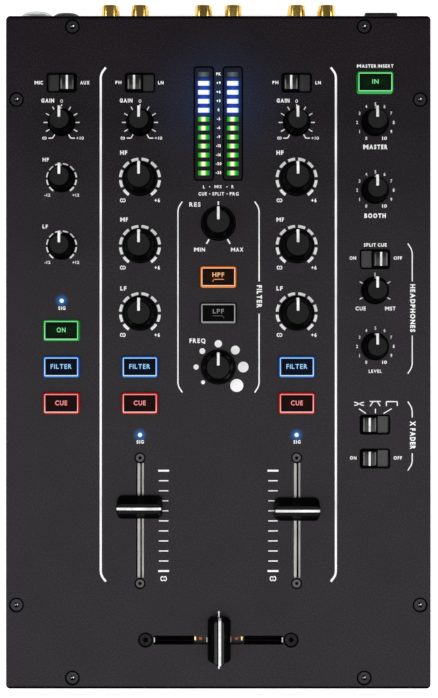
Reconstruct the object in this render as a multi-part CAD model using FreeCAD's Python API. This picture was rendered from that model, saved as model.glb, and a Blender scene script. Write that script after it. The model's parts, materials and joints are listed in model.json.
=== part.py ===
import FreeCAD, Part
import math
import os

# A two-channel DJ mixer with a filter section, in millimetres.
# +X is the user's right, +Y the rear, +Z up. The feet stand on z = 0.
# Everything is placed from the middle of the top panel, and moved once at the end
# so that the origin lies under the middle of the whole mixer.

# Case
PANEL_WIDTH = 202.0
PANEL_LENGTH = 320.0
PANEL_THICKNESS = 2.0
PANEL_CORNER = 2.0
PANEL_EDGE_ROUND = 0.35
SHEET = 1.5
TRAY_INSET = 0.8
TRAY_HEIGHT = 60.0
LIP_WIDTH = 11.0
LIP_END_GAP = 14.0
FOOT_HEIGHT = 8.0
FOOT_RADIUS = 9.0
FOOT_TAPER = 1.0
FOOT_EDGE = 0.8
FOOT_X = 80.0
FOOT_Y = 135.0
PUSH_STEM = 2.5
PUSH_BARB = 3.4
PUSH_BARB_HEIGHT = 2.5

# Columns and rows of the control surface
COLUMN_PITCH = 37.25
INPUT_Y = 128.2
GAIN_Y = 109.3
EQ_TOP_Y = 82.6
EQ_PITCH = 32.0
BOOTH_Y = 77.1
CUE_MIX_Y = 29.4
PHONES_Y = 2.8
RESONANCE_Y = 61.3
FREQUENCY_Y = -7.0
MIC_ON_Y = 10.4
BUTTON_PITCH = 17.3
HIGH_PASS_Y = 35.8
SPLIT_CUE_Y = 44.3
CURVE_Y = -34.4
ENABLE_Y = -50.5
MIC_LIGHT_Y = 24.5
CHANNEL_LIGHT_Y = -39.3
METER_X = 6.9
METER_Y = 108.8
CHANNEL_FADER_Y = -80.1
CROSSFADER_Y = -136.85

# Heights above and below the panel
BOARD_THICKNESS = 1.6
POT_HEIGHT = 8.0
RUNNING_GAP = 0.05
BODY_GAP = 0.35

# Knobs, each with a skirt, a tapering grip and a pointer that stands out from it as a fin
KNOB_FLOAT = 0.8
KNOB_CROWN = 4.0
KNOB_RIM_ROUND = 0.9
KNOB_DOME = 0.25
SKIRT_LEAN = 0.2
SKIRT_STEP = 0.5
POINTER_FOOT = 3.0
POINTER_WIDTH = 1.25
POINTER_DEPTH = 0.6
POINTER_PROUD = 0.12
POINTER_START = 0.85
POINTER_NOSE = 0.4
SMALL_KNOB = {"skirt": 6.7, "skirt_height": 1.6, "foot": 5.9, "top": 4.9, "height": 15.2, "fin": 6.15}
LARGE_KNOB = {"skirt": 8.4, "skirt_height": 1.8, "foot": 7.1, "top": 5.75, "height": 16.0, "fin": 6.95}

# Potentiometers
POT_WIDTH = 11.0
POT_DEPTH = 10.0
BUSH_RADIUS = 3.5
BUSH_RISE = 2.6
SHAFT_RADIUS = 3.0
SHAFT_CLEAR = 1.3
POT_NUT_FLATS = 8.6
POT_NUT_HEIGHT = 2.0

# Push buttons
BUTTON_WIDTH = 17.2
BUTTON_DEPTH = 10.0
BUTTON_CORNER = 1.2
BUTTON_RISE = 3.0
BUTTON_TRAVEL = 1.2
BUTTON_EDGE_ROUND = 0.7
FACE_BORDER = 1.0
FACE_THICKNESS = 1.2
PUSH_SWITCH_WIDTH = 12.0
PUSH_SWITCH_DEPTH = 9.0
PUSH_SWITCH_HEIGHT = 4.2
PLUNGER_RADIUS = 1.75

# Slide switches
SLOT_WIDTH = 14.6
SLOT_DEPTH = 9.6
SLOT_CORNER = 1.5
LEVER_WIDTH = 7.0
LEVER_DEPTH = 7.6
LEVER_RISE = 2.8
LEVER_THROW = 5.4
LEVER_LINE = 1.1
LEVER_CORNER = 0.6
RIB_GROOVE = 0.55
RIB_PITCH = 1.15
SLIDE_BODY_WIDTH = 16.0
SLIDE_BODY_DEPTH = 10.4
SLIDE_BODY_DROP = 0.7
STEM_WIDTH = 2.4
STEM_LENGTH = 4.0

# Level meters and signal lights
WINDOW_WIDTH = 9.85
WINDOW_LENGTH = 54.6
WINDOW_CORNER = 1.7
SEGMENTS = 12
BLUE_SEGMENTS = 4
SEGMENT_WIDTH = 5.5
SEGMENT_HEIGHT = 2.2
SEGMENT_PITCH = 4.265
SEGMENT_DEPTH = 2.5
METER_SINK = 0.6
LIGHT_RADIUS = 1.05
LIGHT_BASE_RADIUS = 1.7
LIGHT_RISE = 0.25

# Faders; a slit in the top of a frame is its place across the slot and its width, the blade's first
CHANNEL_SLOT = (3.6, 54.9)
CHANNEL_SCREW_PITCH = 59.8
CHANNEL_CARRIAGE = 9.0
CHANNEL_SLITS = ((0.5, 1.0), (-1.6, 0.8))
CHANNEL_TRAVEL = 45.0
LEFT_FADER_REST = 6.7
RIGHT_FADER_REST = 5.7
CROSS_SLOT = (4.3, 61.7)
CROSS_SCREW_PITCH = 69.2
CROSS_CARRIAGE = 24.0
CROSS_SLITS = ((0.0, 11.0),)
CROSS_TRAVEL = 45.0
CROSS_REST = 0.4
FRAME_WIDTH = 13.0
FRAME_HEIGHT = 14.0
FRAME_WALL = 1.0
FRAME_LUG = 3.2
FRAME_END = 6.0
RAIL_RADIUS = 0.75
RAIL_X = 1.3
RAIL_DROP = 7.0
RAIL_FIT = 0.04
CARRIAGE_WIDTH = 8.0
CARRIAGE_HEIGHT = 5.0
LEVER_BLADE = (0.8, 4.0)
BLADE_RISE = 8.0
CAP_LENGTH = 21.9
CAP_DEPTH = 10.8
CAP_FLOAT = 1.5
CAP_HEIGHT = 12.5
CAP_FOOT = 2.6
CAP_TOP = 4.8
CAP_HOLLOW = (0.32, 0.48)
CAP_CORNER = 1.5
CAP_LINE = 1.5
LINE_DEPTH = 0.6

# Screws: radius of the seat in the panel, head and shank
PANEL_SCREW = {"seat": 3.35, "head": 2.8, "shank": 1.5, "length": 9.0, "socket": 2.4}
CHANNEL_SCREW = {"seat": 2.42, "head": 1.95, "shank": 1.0, "length": 4.6, "socket": 1.6}
CROSS_SCREW = {"seat": 3.4, "head": 2.85, "shank": 1.5, "length": 4.6, "socket": 2.4}
SOCKET_DEPTH = 0.9
END_SCREW = (69.4, 154.9)
SIDE_SCREW = (96.0, 120.2)
CASE_SCREW_X = 94.5
CASE_SCREW_Z = (16.0, 62.2)
CASE_HEAD_HEIGHT = 1.2
CASE_SOCKET = 2.0
TAB_WIDTH = 10.0
TAB_HEIGHT = 7.6

# Sockets on the rear and front walls
PHONO_PITCH = 14.6
PHONO_GROUP_PITCH = 45.7
PHONO_ROWS = (41.0, 27.0)
PHONO_RADIUS = 4.15
PHONO_WALL = 1.0
PHONO_ROOT_RADIUS = 3.6
PHONO_REACH = 10.5
PHONO_COLLAR = 5.4
PHONO_COLLAR_HEIGHT = 0.8
PHONO_CHAMFER = 0.4
PHONO_PIN_RADIUS = 1.65
PHONO_SINK = 0.8
PHONO_BLOCK = (29.0, 12.0, 29.0)
JACK_BORE = 3.2
JACK_BORE_DEPTH = 31.0
JACK_BUSH = 4.6
JACK_BODY = (12.5, 27.0, 14.0)
JACK_NUT_NOTCH = 1.2
NUT_SHOULDER = 0.4
NUT_SHOULDER_DROP = 0.4
BEZEL_SOFT = 0.4
JACK_Z = 50.0
JACK_LIP = 0.6
PLATED_JACK = {"x": -88.0, "nut": 7.5, "reach": 6.1, "dome": 2.2}
BLACK_JACK = {"x": -73.6, "nut": 6.8, "reach": 4.9, "dome": 1.7}
RIGHT_JACK = {"x": 78.5, "nut": 7.8, "reach": 4.4, "bezel_corner": 1.2}
PHONES_JACK = {"x": 74.5, "nut": 7.0, "reach": 2.4, "dome": 0.8}
POWER_X = 80.0
POWER_Z = 26.0
POWER_RADIUS = 4.4
POWER_BORE = 2.8
POWER_PIN = 1.0
POWER_REACH = 1.6
POWER_BORE_DEPTH = 9.5
POWER_PIN_SINK = 1.0
POWER_BODY = (10.0, 13.0, 11.0)

# Boards
BOARD_HALF_WIDTH = 91.0
BOARD_REAR_Y = 141.5
BOARD_FRONT_Y = -42.2
EAR_LEFT_X = 62.0
EAR_FRONT_Y = -60.0
PILLAR_RADIUS = 2.5
PILLAR_X = 56.0
PILLAR_Y = (132.0, -32.0)
JACK_BOARD_HALF_WIDTH = 62.0
JACK_BOARD_BOTTOM = 17.0
HEADER = (40.0, 3.0, 6.0)

# Derived heights and planes
FLOOR_TOP = FOOT_HEIGHT + SHEET
PANEL_BOTTOM = FOOT_HEIGHT + TRAY_HEIGHT
PANEL_TOP = PANEL_BOTTOM + PANEL_THICKNESS
BOARD_TOP = PANEL_BOTTOM - POT_HEIGHT
BOARD_BOTTOM = BOARD_TOP - BOARD_THICKNESS
KNOB_BOTTOM = PANEL_TOP + KNOB_FLOAT
CAP_BOTTOM = PANEL_TOP + CAP_FLOAT
RAIL_Z = PANEL_BOTTOM - RAIL_DROP
WALL_X = PANEL_WIDTH / 2 - TRAY_INSET
WALL_Y = PANEL_LENGTH / 2 - TRAY_INSET
REAR_REACH = WALL_Y + PHONO_REACH
FRONT_REACH = WALL_Y + PHONES_JACK["reach"]
ORIGIN_SHIFT = (FRONT_REACH - REAR_REACH) / 2

# Columns of controls, from the user's left
MIC_X = -2 * COLUMN_PITCH
LEFT_X = -COLUMN_PITCH
RIGHT_X = COLUMN_PITCH
MASTER_X = 2 * COLUMN_PITCH
EQ_MID_Y = EQ_TOP_Y - EQ_PITCH
EQ_LOW_Y = EQ_TOP_Y - 2 * EQ_PITCH
FILTER_Y = MIC_ON_Y - BUTTON_PITCH
CUE_Y = FILTER_Y - BUTTON_PITCH
LOW_PASS_Y = HIGH_PASS_Y - BUTTON_PITCH

KNOBS = {
    "mic_gain_knob": (MIC_X, GAIN_Y, SMALL_KNOB),
    "mic_high_knob": (MIC_X, EQ_TOP_Y, SMALL_KNOB),
    "mic_low_knob": (MIC_X, EQ_MID_Y, SMALL_KNOB),
    "left_gain_knob": (LEFT_X, GAIN_Y, SMALL_KNOB),
    "left_high_knob": (LEFT_X, EQ_TOP_Y, LARGE_KNOB),
    "left_mid_knob": (LEFT_X, EQ_MID_Y, LARGE_KNOB),
    "left_low_knob": (LEFT_X, EQ_LOW_Y, LARGE_KNOB),
    "right_gain_knob": (RIGHT_X, GAIN_Y, SMALL_KNOB),
    "right_high_knob": (RIGHT_X, EQ_TOP_Y, LARGE_KNOB),
    "right_mid_knob": (RIGHT_X, EQ_MID_Y, LARGE_KNOB),
    "right_low_knob": (RIGHT_X, EQ_LOW_Y, LARGE_KNOB),
    "resonance_knob": (0.0, RESONANCE_Y, LARGE_KNOB),
    "frequency_knob": (0.0, FREQUENCY_Y, LARGE_KNOB),
    "master_knob": (MASTER_X, GAIN_Y, SMALL_KNOB),
    "booth_knob": (MASTER_X, BOOTH_Y, SMALL_KNOB),
    "cue_mix_knob": (MASTER_X, CUE_MIX_Y, SMALL_KNOB),
    "phones_level_knob": (MASTER_X, PHONES_Y, SMALL_KNOB),
}
BUTTONS = {
    "insert_button": (MASTER_X, INPUT_Y),
    "mic_on_button": (MIC_X, MIC_ON_Y),
    "mic_filter_button": (MIC_X, FILTER_Y),
    "mic_cue_button": (MIC_X, CUE_Y),
    "left_filter_button": (LEFT_X, FILTER_Y),
    "left_cue_button": (LEFT_X, CUE_Y),
    "right_filter_button": (RIGHT_X, FILTER_Y),
    "right_cue_button": (RIGHT_X, CUE_Y),
    "high_pass_button": (0.0, HIGH_PASS_Y),
    "low_pass_button": (0.0, LOW_PASS_Y),
}
# The last value is the side of its slot on which the lever rests: 1 is the right
LEVERS = {
    "mic_input_lever": (MIC_X, INPUT_Y, 1),
    "left_input_lever": (LEFT_X, INPUT_Y, -1),
    "right_input_lever": (RIGHT_X, INPUT_Y, -1),
    "split_cue_lever": (MASTER_X, SPLIT_CUE_Y, 1),
    "curve_lever": (MASTER_X, CURVE_Y, -1),
    "crossfader_enable_lever": (MASTER_X, ENABLE_Y, -1),
}
LIGHTS = [(MIC_X, MIC_LIGHT_Y), (LEFT_X, CHANNEL_LIGHT_Y), (RIGHT_X, CHANNEL_LIGHT_Y)]
CHANNEL_FADER = {
    "slot": CHANNEL_SLOT,
    "screw_pitch": CHANNEL_SCREW_PITCH,
    "screw": CHANNEL_SCREW,
    "carriage": CHANNEL_CARRIAGE,
    "slits": CHANNEL_SLITS,
    "travel": CHANNEL_TRAVEL,
}
CROSSFADER = {
    "slot": CROSS_SLOT,
    "screw_pitch": CROSS_SCREW_PITCH,
    "screw": CROSS_SCREW,
    "carriage": CROSS_CARRIAGE,
    "slits": CROSS_SLITS,
    "travel": CROSS_TRAVEL,
}
# Middle of the slot, turn about Z from the Y direction, how far the cap rests from the middle, and sizes
FADERS = {
    "left_fader": (LEFT_X, CHANNEL_FADER_Y, 0.0, LEFT_FADER_REST, CHANNEL_FADER),
    "right_fader": (RIGHT_X, CHANNEL_FADER_Y, 0.0, RIGHT_FADER_REST, CHANNEL_FADER),
    "crossfader": (0.0, CROSSFADER_Y, -90.0, CROSS_REST, CROSSFADER),
}
REAR_JACKS = [PLATED_JACK, BLACK_JACK, RIGHT_JACK]
PANEL_SCREWS = [
    (side * x, end * y) for x, y in (END_SCREW, SIDE_SCREW) for side in (-1, 1) for end in (-1, 1)
]


# Shapes that everything is made from


def box(x, y, z, width, depth, height):
    """A block centred on x and y, standing on z."""
    return Part.makeBox(width, depth, height, FreeCAD.Vector(x - width / 2, y - depth / 2, z))


def rod(x, y, z, radius, height):
    """An upright cylinder standing on z."""
    return Part.makeCylinder(radius, height, FreeCAD.Vector(x, y, z))


def rounded_box(x, y, z, width, depth, height, corner):
    """A block with its four upright edges rounded."""
    block = box(x, y, z, width, depth, height)
    upright = [edge for edge in block.Edges if edge.BoundBox.ZLength > height / 2]
    return block.makeFillet(corner, upright)


def round_top(solid, radius):
    """The solid with every edge of its top face rounded."""
    top = solid.BoundBox.ZMax
    return solid.makeFillet(radius, [edge for edge in solid.Edges if edge.BoundBox.ZMin > top - radius / 2])


def outline(start, *steps):
    """A closed face in the XZ plane: each step is an end point, or a mid point and an end point of an arc."""

    def point(pair):
        return FreeCAD.Vector(pair[0], 0, pair[1])

    edges = []
    here = start
    for step in steps + (start,):
        if isinstance(step[0], tuple):
            middle, end = step
            edges.append(Part.Arc(point(here), point(middle), point(end)).toShape())
        else:
            end = step
            edges.append(Part.LineSegment(point(here), point(end)).toShape())
        here = end
    return Part.Face(Part.Wire(edges))


def turned(start, *steps):
    """The outline turned about the Z axis."""
    return outline(start, *steps).revolve(FreeCAD.Vector(0, 0, 0), FreeCAD.Vector(0, 0, 1), 360)


def hexagon(flats, z, height):
    """A hexagonal bar on the Z axis, flats being the width across its flats."""
    reach = flats / math.sqrt(3)
    corners = [
        FreeCAD.Vector(reach * math.cos(math.radians(60 * i)), reach * math.sin(math.radians(60 * i)), z)
        for i in range(7)
    ]
    return Part.Face(Part.makePolygon(corners)).extrude(FreeCAD.Vector(0, 0, height))


def moved(solid, x, y, z=0.0):
    """A copy of the solid shifted by x, y and z."""
    copy = solid.copy()
    copy.translate(FreeCAD.Vector(x, y, z))
    return copy


def through_wall(solid, x, z, rear=True):
    """A socket made pointing up from z = 0, turned to point out of the rear or front wall."""
    copy = solid.copy()
    copy.rotate(FreeCAD.Vector(0, 0, 0), FreeCAD.Vector(1, 0, 0), -90 if rear else 90)
    return moved(copy, x, WALL_Y if rear else -WALL_Y, z)


def turned_to(solid, x, y, turn):
    """A copy of the solid turned about the Z axis by degrees, then shifted by x and y."""
    copy = solid.copy()
    copy.rotate(FreeCAD.Vector(0, 0, 0), FreeCAD.Vector(0, 0, 1), turn)
    return moved(copy, x, y)


# Case


def screw_seat(size):
    """The countersink and clearance hole that a panel screw leaves, reaching down through the panel."""
    seat = size["seat"]
    hole = size["shank"] + RUNNING_GAP
    return turned(
        (0, PANEL_BOTTOM),
        (hole, PANEL_BOTTOM),
        (hole, PANEL_TOP - seat + hole),
        (seat, PANEL_TOP),
        (0, PANEL_TOP),
    )


def screw(size):
    """A countersunk screw with a hex socket, its head sunk until it fills the countersink."""
    head_top = PANEL_TOP - (size["seat"] - size["head"]) + RUNNING_GAP
    body = turned(
        (0, head_top - size["length"]),
        (size["shank"], head_top - size["length"]),
        (size["shank"], head_top - size["head"] + size["shank"]),
        (size["head"], head_top),
        (0, head_top),
    )
    return body.cut(hexagon(size["socket"], head_top - SOCKET_DEPTH, SOCKET_DEPTH))


def fader_screw_places(x, y, turn, sizes):
    """The two screw places of one fader, before and after its slot."""
    reach = sizes["screw_pitch"] / 2
    angle = math.radians(turn)
    return [(x - end * reach * math.sin(angle), y + end * reach * math.cos(angle)) for end in (-1, 1)]


def top_panel():
    plate = rounded_box(0, 0, PANEL_BOTTOM, PANEL_WIDTH, PANEL_LENGTH, PANEL_THICKNESS, PANEL_CORNER)
    plate = round_top(plate, PANEL_EDGE_ROUND)
    openings = [moved(screw_seat(PANEL_SCREW), x, y) for x, y in PANEL_SCREWS]
    for x, y, _ in KNOBS.values():
        openings.append(rod(x, y, PANEL_BOTTOM, BUSH_RADIUS + 2 * RUNNING_GAP, PANEL_THICKNESS))
    for x, y in BUTTONS.values():
        width = BUTTON_WIDTH + 2 * BODY_GAP
        depth = BUTTON_DEPTH + 2 * BODY_GAP
        corner = BUTTON_CORNER + BODY_GAP
        openings.append(rounded_box(x, y, PANEL_BOTTOM, width, depth, PANEL_THICKNESS, corner))
    for x, y, _ in LEVERS.values():
        openings.append(
            rounded_box(x, y, PANEL_BOTTOM, SLOT_WIDTH, SLOT_DEPTH, PANEL_THICKNESS, SLOT_CORNER)
        )
    for x in (-METER_X, METER_X):
        openings.append(
            rounded_box(
                x, METER_Y, PANEL_BOTTOM, WINDOW_WIDTH, WINDOW_LENGTH, PANEL_THICKNESS, WINDOW_CORNER
            )
        )
    for x, y in LIGHTS:
        openings.append(rod(x, y, PANEL_BOTTOM, LIGHT_RADIUS + RUNNING_GAP, PANEL_THICKNESS))
    for x, y, turn, _, sizes in FADERS.values():
        slot = box(0, 0, PANEL_BOTTOM, *sizes["slot"], PANEL_THICKNESS)
        openings.append(turned_to(slot, x, y, turn))
        openings += [
            moved(screw_seat(sizes["screw"]), *place) for place in fader_screw_places(x, y, turn, sizes)
        ]
    return [plate.cut(openings)]


def chassis_tray():
    """A sheet folded into a floor and two side walls, with a plate between them across the front."""
    return [folded_channel(), front_plate()]


def folded_channel():
    """Floor and side walls, with lips under the panel and tabs behind the rear panel."""
    inner_x = WALL_X - SHEET
    rear = WALL_Y - SHEET
    length = WALL_Y + rear
    middle = (rear - WALL_Y) / 2
    lip_z = PANEL_BOTTOM - SHEET
    channel = box(0, middle, FOOT_HEIGHT, 2 * WALL_X, length, TRAY_HEIGHT)
    channel = channel.cut(box(0, middle, FLOOR_TOP, 2 * inner_x, length, TRAY_HEIGHT))
    additions = []
    holes = [moved(lip_hole(), x, y) for x, y in PANEL_SCREWS]
    for side in (-1, 1):
        lip_x = side * (inner_x - LIP_WIDTH / 2)
        additions.append(box(lip_x, 0, lip_z, LIP_WIDTH, 2 * (rear - LIP_END_GAP), SHEET))
        for z in CASE_SCREW_Z:
            tab_x = side * (inner_x - TAB_WIDTH / 2)
            additions.append(
                box(tab_x, rear - SHEET / 2, z - TAB_HEIGHT / 2, TAB_WIDTH, SHEET, TAB_HEIGHT)
            )
            holes.append(through_wall(case_screw_hole(), side * CASE_SCREW_X, z))
        for end in (-1, 1):
            holes.append(
                rod(side * FOOT_X, end * FOOT_Y, FOOT_HEIGHT, PUSH_STEM + RUNNING_GAP, SHEET)
            )
    return channel.fuse(additions).cut(holes).removeSplitter()


def front_plate():
    """The front wall, with a lip under the panel and the hole for the headphone socket."""
    inner_x = WALL_X - SHEET
    inner_y = WALL_Y - SHEET
    height = PANEL_BOTTOM - FLOOR_TOP
    plate = box(0, SHEET / 2 - WALL_Y, FLOOR_TOP, 2 * inner_x, SHEET, height)
    lip_width = 2 * (inner_x - LIP_END_GAP)
    lip = box(0, LIP_WIDTH / 2 - inner_y, PANEL_BOTTOM - SHEET, lip_width, LIP_WIDTH, SHEET)
    holes = [moved(lip_hole(), x, y) for x, y in PANEL_SCREWS]
    holes.append(through_wall(jack_hole(), PHONES_JACK["x"], JACK_Z, rear=False))
    return plate.fuse(lip).cut(holes).removeSplitter()


def rear_panel():
    """A plate across the rear with a lip under the top panel and a hole for every socket."""
    inner_y = WALL_Y - SHEET
    lip_width = 2 * (WALL_X - SHEET - LIP_END_GAP)
    plate = box(0, WALL_Y - SHEET / 2, FOOT_HEIGHT, 2 * WALL_X, SHEET, TRAY_HEIGHT)
    lip = box(0, inner_y - LIP_WIDTH / 2, PANEL_BOTTOM - SHEET, lip_width, LIP_WIDTH, SHEET)
    holes = [moved(lip_hole(), x, y) for x, y in PANEL_SCREWS]
    for side in (-1, 1):
        holes += [through_wall(case_screw_hole(), side * CASE_SCREW_X, z) for z in CASE_SCREW_Z]
    holes += [through_wall(jack_hole(), size["x"], JACK_Z) for size in REAR_JACKS]
    phono_hole = rod(0, 0, -SHEET, PHONO_ROOT_RADIUS + RUNNING_GAP, SHEET)
    holes += [through_wall(phono_hole, x, z) for x, z in phono_places()]
    holes.append(through_wall(rod(0, 0, -SHEET, POWER_RADIUS + RUNNING_GAP, SHEET), POWER_X, POWER_Z))
    return [plate.fuse(lip).cut(holes).removeSplitter()]


def lip_hole():
    """The hole in a lip for a panel screw."""
    return rod(0, 0, PANEL_BOTTOM - SHEET, PANEL_SCREW["shank"] + RUNNING_GAP, SHEET)


def case_screw_hole():
    """The hole through the rear panel and the tab behind it."""
    return rod(0, 0, -2 * SHEET, PANEL_SCREW["shank"] + RUNNING_GAP, 2 * SHEET)


def jack_hole():
    """The hole in a wall for the bush of a jack socket."""
    return rod(0, 0, -SHEET, JACK_BUSH + RUNNING_GAP, SHEET)


def panel_screws():
    return [moved(screw(PANEL_SCREW), x, y) for x, y in PANEL_SCREWS]


def case_screws():
    """Button-headed screws that hold the rear panel to the tray."""
    shank = PANEL_SCREW["shank"]
    head = PANEL_SCREW["head"]
    length = PANEL_SCREW["length"] - CASE_HEAD_HEIGHT
    dome = (head - CASE_HEAD_HEIGHT * (1 - math.sqrt(0.5)), CASE_HEAD_HEIGHT * math.sqrt(0.5))
    body = turned(
        (0, -length),
        (shank, -length),
        (shank, 0),
        (head, 0),
        (dome, (head - CASE_HEAD_HEIGHT, CASE_HEAD_HEIGHT)),
        (0, CASE_HEAD_HEIGHT),
    )
    body = body.cut(hexagon(CASE_SOCKET, CASE_HEAD_HEIGHT - SOCKET_DEPTH, SOCKET_DEPTH))
    return [
        through_wall(body, side * CASE_SCREW_X, z) for side in (-1, 1) for z in CASE_SCREW_Z
    ]


def fader_screws():
    screws = []
    for x, y, turn, _, sizes in FADERS.values():
        screws += [moved(screw(sizes["screw"]), *place) for place in fader_screw_places(x, y, turn, sizes)]
    return screws


def rubber_feet():
    """Push-in feet: a tapered pad, a stem through the floor and a barb above it."""
    foot = turned(
        (0, 0),
        (FOOT_RADIUS - FOOT_TAPER - FOOT_EDGE, 0),
        (FOOT_RADIUS - FOOT_TAPER, FOOT_EDGE),
        (FOOT_RADIUS, FOOT_HEIGHT),
        (PUSH_STEM, FOOT_HEIGHT),
        (PUSH_STEM, FLOOR_TOP),
        (PUSH_BARB, FLOOR_TOP),
        (PUSH_STEM - FOOT_EDGE, FLOOR_TOP + PUSH_BARB_HEIGHT),
        (0, FLOOR_TOP + PUSH_BARB_HEIGHT),
    )
    return [moved(foot, side * FOOT_X, end * FOOT_Y) for side in (-1, 1) for end in (-1, 1)]


# Boards and the parts that stand on them


def control_board():
    """An L-shaped board that leaves the fader bays free."""
    length = BOARD_REAR_Y - BOARD_FRONT_Y
    middle = (BOARD_REAR_Y + BOARD_FRONT_Y) / 2
    main = box(0, middle, BOARD_BOTTOM, 2 * BOARD_HALF_WIDTH, length, BOARD_THICKNESS)
    ear_width = BOARD_HALF_WIDTH - EAR_LEFT_X
    ear_length = BOARD_FRONT_Y - EAR_FRONT_Y
    ear = box(
        EAR_LEFT_X + ear_width / 2,
        EAR_FRONT_Y + ear_length / 2,
        BOARD_BOTTOM,
        ear_width,
        ear_length,
        BOARD_THICKNESS,
    )
    return [main.fuse(ear).removeSplitter()]


def board_pillars():
    return [
        rod(side * PILLAR_X, y, BOARD_TOP, PILLAR_RADIUS, POT_HEIGHT) for side in (-1, 1) for y in PILLAR_Y
    ]


def jack_board():
    """The board behind the phono sockets, and the header that joins it to the control board."""
    front = WALL_Y - SHEET - PHONO_BLOCK[1]
    height = BOARD_BOTTOM - JACK_BOARD_BOTTOM
    board = box(
        0,
        front - BOARD_THICKNESS / 2,
        JACK_BOARD_BOTTOM,
        2 * JACK_BOARD_HALF_WIDTH,
        BOARD_THICKNESS,
        height,
    )
    width, depth, tall = HEADER
    header = box(0, front - BOARD_THICKNESS - depth / 2, BOARD_BOTTOM - tall, width, depth, tall)
    return [board, header]


def potentiometers():
    bush_top = PANEL_TOP + BUSH_RISE
    body = box(0, 0, BOARD_TOP, POT_WIDTH, POT_DEPTH, POT_HEIGHT)
    bush = rod(0, 0, PANEL_BOTTOM, BUSH_RADIUS, bush_top - PANEL_BOTTOM)
    floor = BOARD_TOP + SHAFT_CLEAR - BODY_GAP
    bore = rod(0, 0, floor, SHAFT_RADIUS + RUNNING_GAP, bush_top - floor)
    pot = body.fuse(bush).cut(bore)
    return [moved(pot, x, y) for x, y, _ in KNOBS.values()]


def potentiometer_nuts():
    nut = hexagon(POT_NUT_FLATS, PANEL_TOP, POT_NUT_HEIGHT)
    nut = nut.cut(rod(0, 0, PANEL_TOP, BUSH_RADIUS + RUNNING_GAP, POT_NUT_HEIGHT))
    return [moved(nut, x, y) for x, y, _ in KNOBS.values()]


def switch_bodies():
    """The push switches under the buttons and the slide switches under the levers."""
    push = box(0, 0, BOARD_TOP, PUSH_SWITCH_WIDTH, PUSH_SWITCH_DEPTH, PUSH_SWITCH_HEIGHT)
    well = rod(0, 0, BOARD_TOP + BODY_GAP, PLUNGER_RADIUS + RUNNING_GAP, PUSH_SWITCH_HEIGHT)
    bodies = [moved(push.cut(well), x, y) for x, y in BUTTONS.values()]
    height = POT_HEIGHT - SLIDE_BODY_DROP
    slide = box(0, 0, BOARD_TOP, SLIDE_BODY_WIDTH, SLIDE_BODY_DEPTH, height)
    track_width = STEM_WIDTH + LEVER_THROW + 2 * BODY_GAP
    track_depth = STEM_LENGTH + BODY_GAP
    track = box(
        0, 0, BOARD_TOP + height - track_depth, track_width, STEM_WIDTH + 2 * BODY_GAP, track_depth
    )
    slide = slide.cut(track)
    return bodies + [moved(slide, x, y) for x, y, _ in LEVERS.values()]


# Level meters and lights


def segment_places(first, count):
    """The places of one run of segments in both columns, counted down from the top."""
    top = METER_Y + (SEGMENTS - 1) / 2 * SEGMENT_PITCH
    return [
        (x, top - i * SEGMENT_PITCH) for x in (-METER_X, METER_X) for i in range(first, first + count)
    ]


def segment(x, y):
    """One light bar, its face level with the housing round it."""
    z = PANEL_TOP - METER_SINK - SEGMENT_DEPTH
    return box(x, y, z, SEGMENT_WIDTH, SEGMENT_HEIGHT, SEGMENT_DEPTH)


def meter_housings():
    """Two dark blocks standing in the windows, with their unlit peak segments."""
    width = WINDOW_WIDTH - 2 * BODY_GAP
    length = WINDOW_LENGTH - 2 * BODY_GAP
    height = PANEL_TOP - METER_SINK - BOARD_TOP
    blocks = []
    for x in (-METER_X, METER_X):
        block = rounded_box(x, METER_Y, BOARD_TOP, width, length, height, WINDOW_CORNER - BODY_GAP)
        pockets = [segment(*place) for place in segment_places(0, SEGMENTS) if place[0] == x]
        blocks.append(block.cut(pockets))
    return blocks + [segment(*place) for place in segment_places(0, 1)]


def blue_lights():
    """The upper meter segments and the three domed signal lights."""
    dome_foot = PANEL_TOP + LIGHT_RISE - LIGHT_RADIUS
    dome_side = LIGHT_RADIUS * math.sqrt(0.5)
    light = turned(
        (0, BOARD_TOP),
        (LIGHT_BASE_RADIUS, BOARD_TOP),
        (LIGHT_BASE_RADIUS, PANEL_BOTTOM - BODY_GAP),
        (LIGHT_RADIUS, PANEL_BOTTOM - BODY_GAP),
        (LIGHT_RADIUS, dome_foot),
        ((dome_side, dome_foot + dome_side), (0, dome_foot + LIGHT_RADIUS)),
    )
    segments = [segment(*place) for place in segment_places(1, BLUE_SEGMENTS)]
    return segments + [moved(light, x, y) for x, y in LIGHTS]


def green_lights():
    lit = SEGMENTS - 1 - BLUE_SEGMENTS
    return [segment(*place) for place in segment_places(1 + BLUE_SEGMENTS, lit)]


# Moving controls


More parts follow.
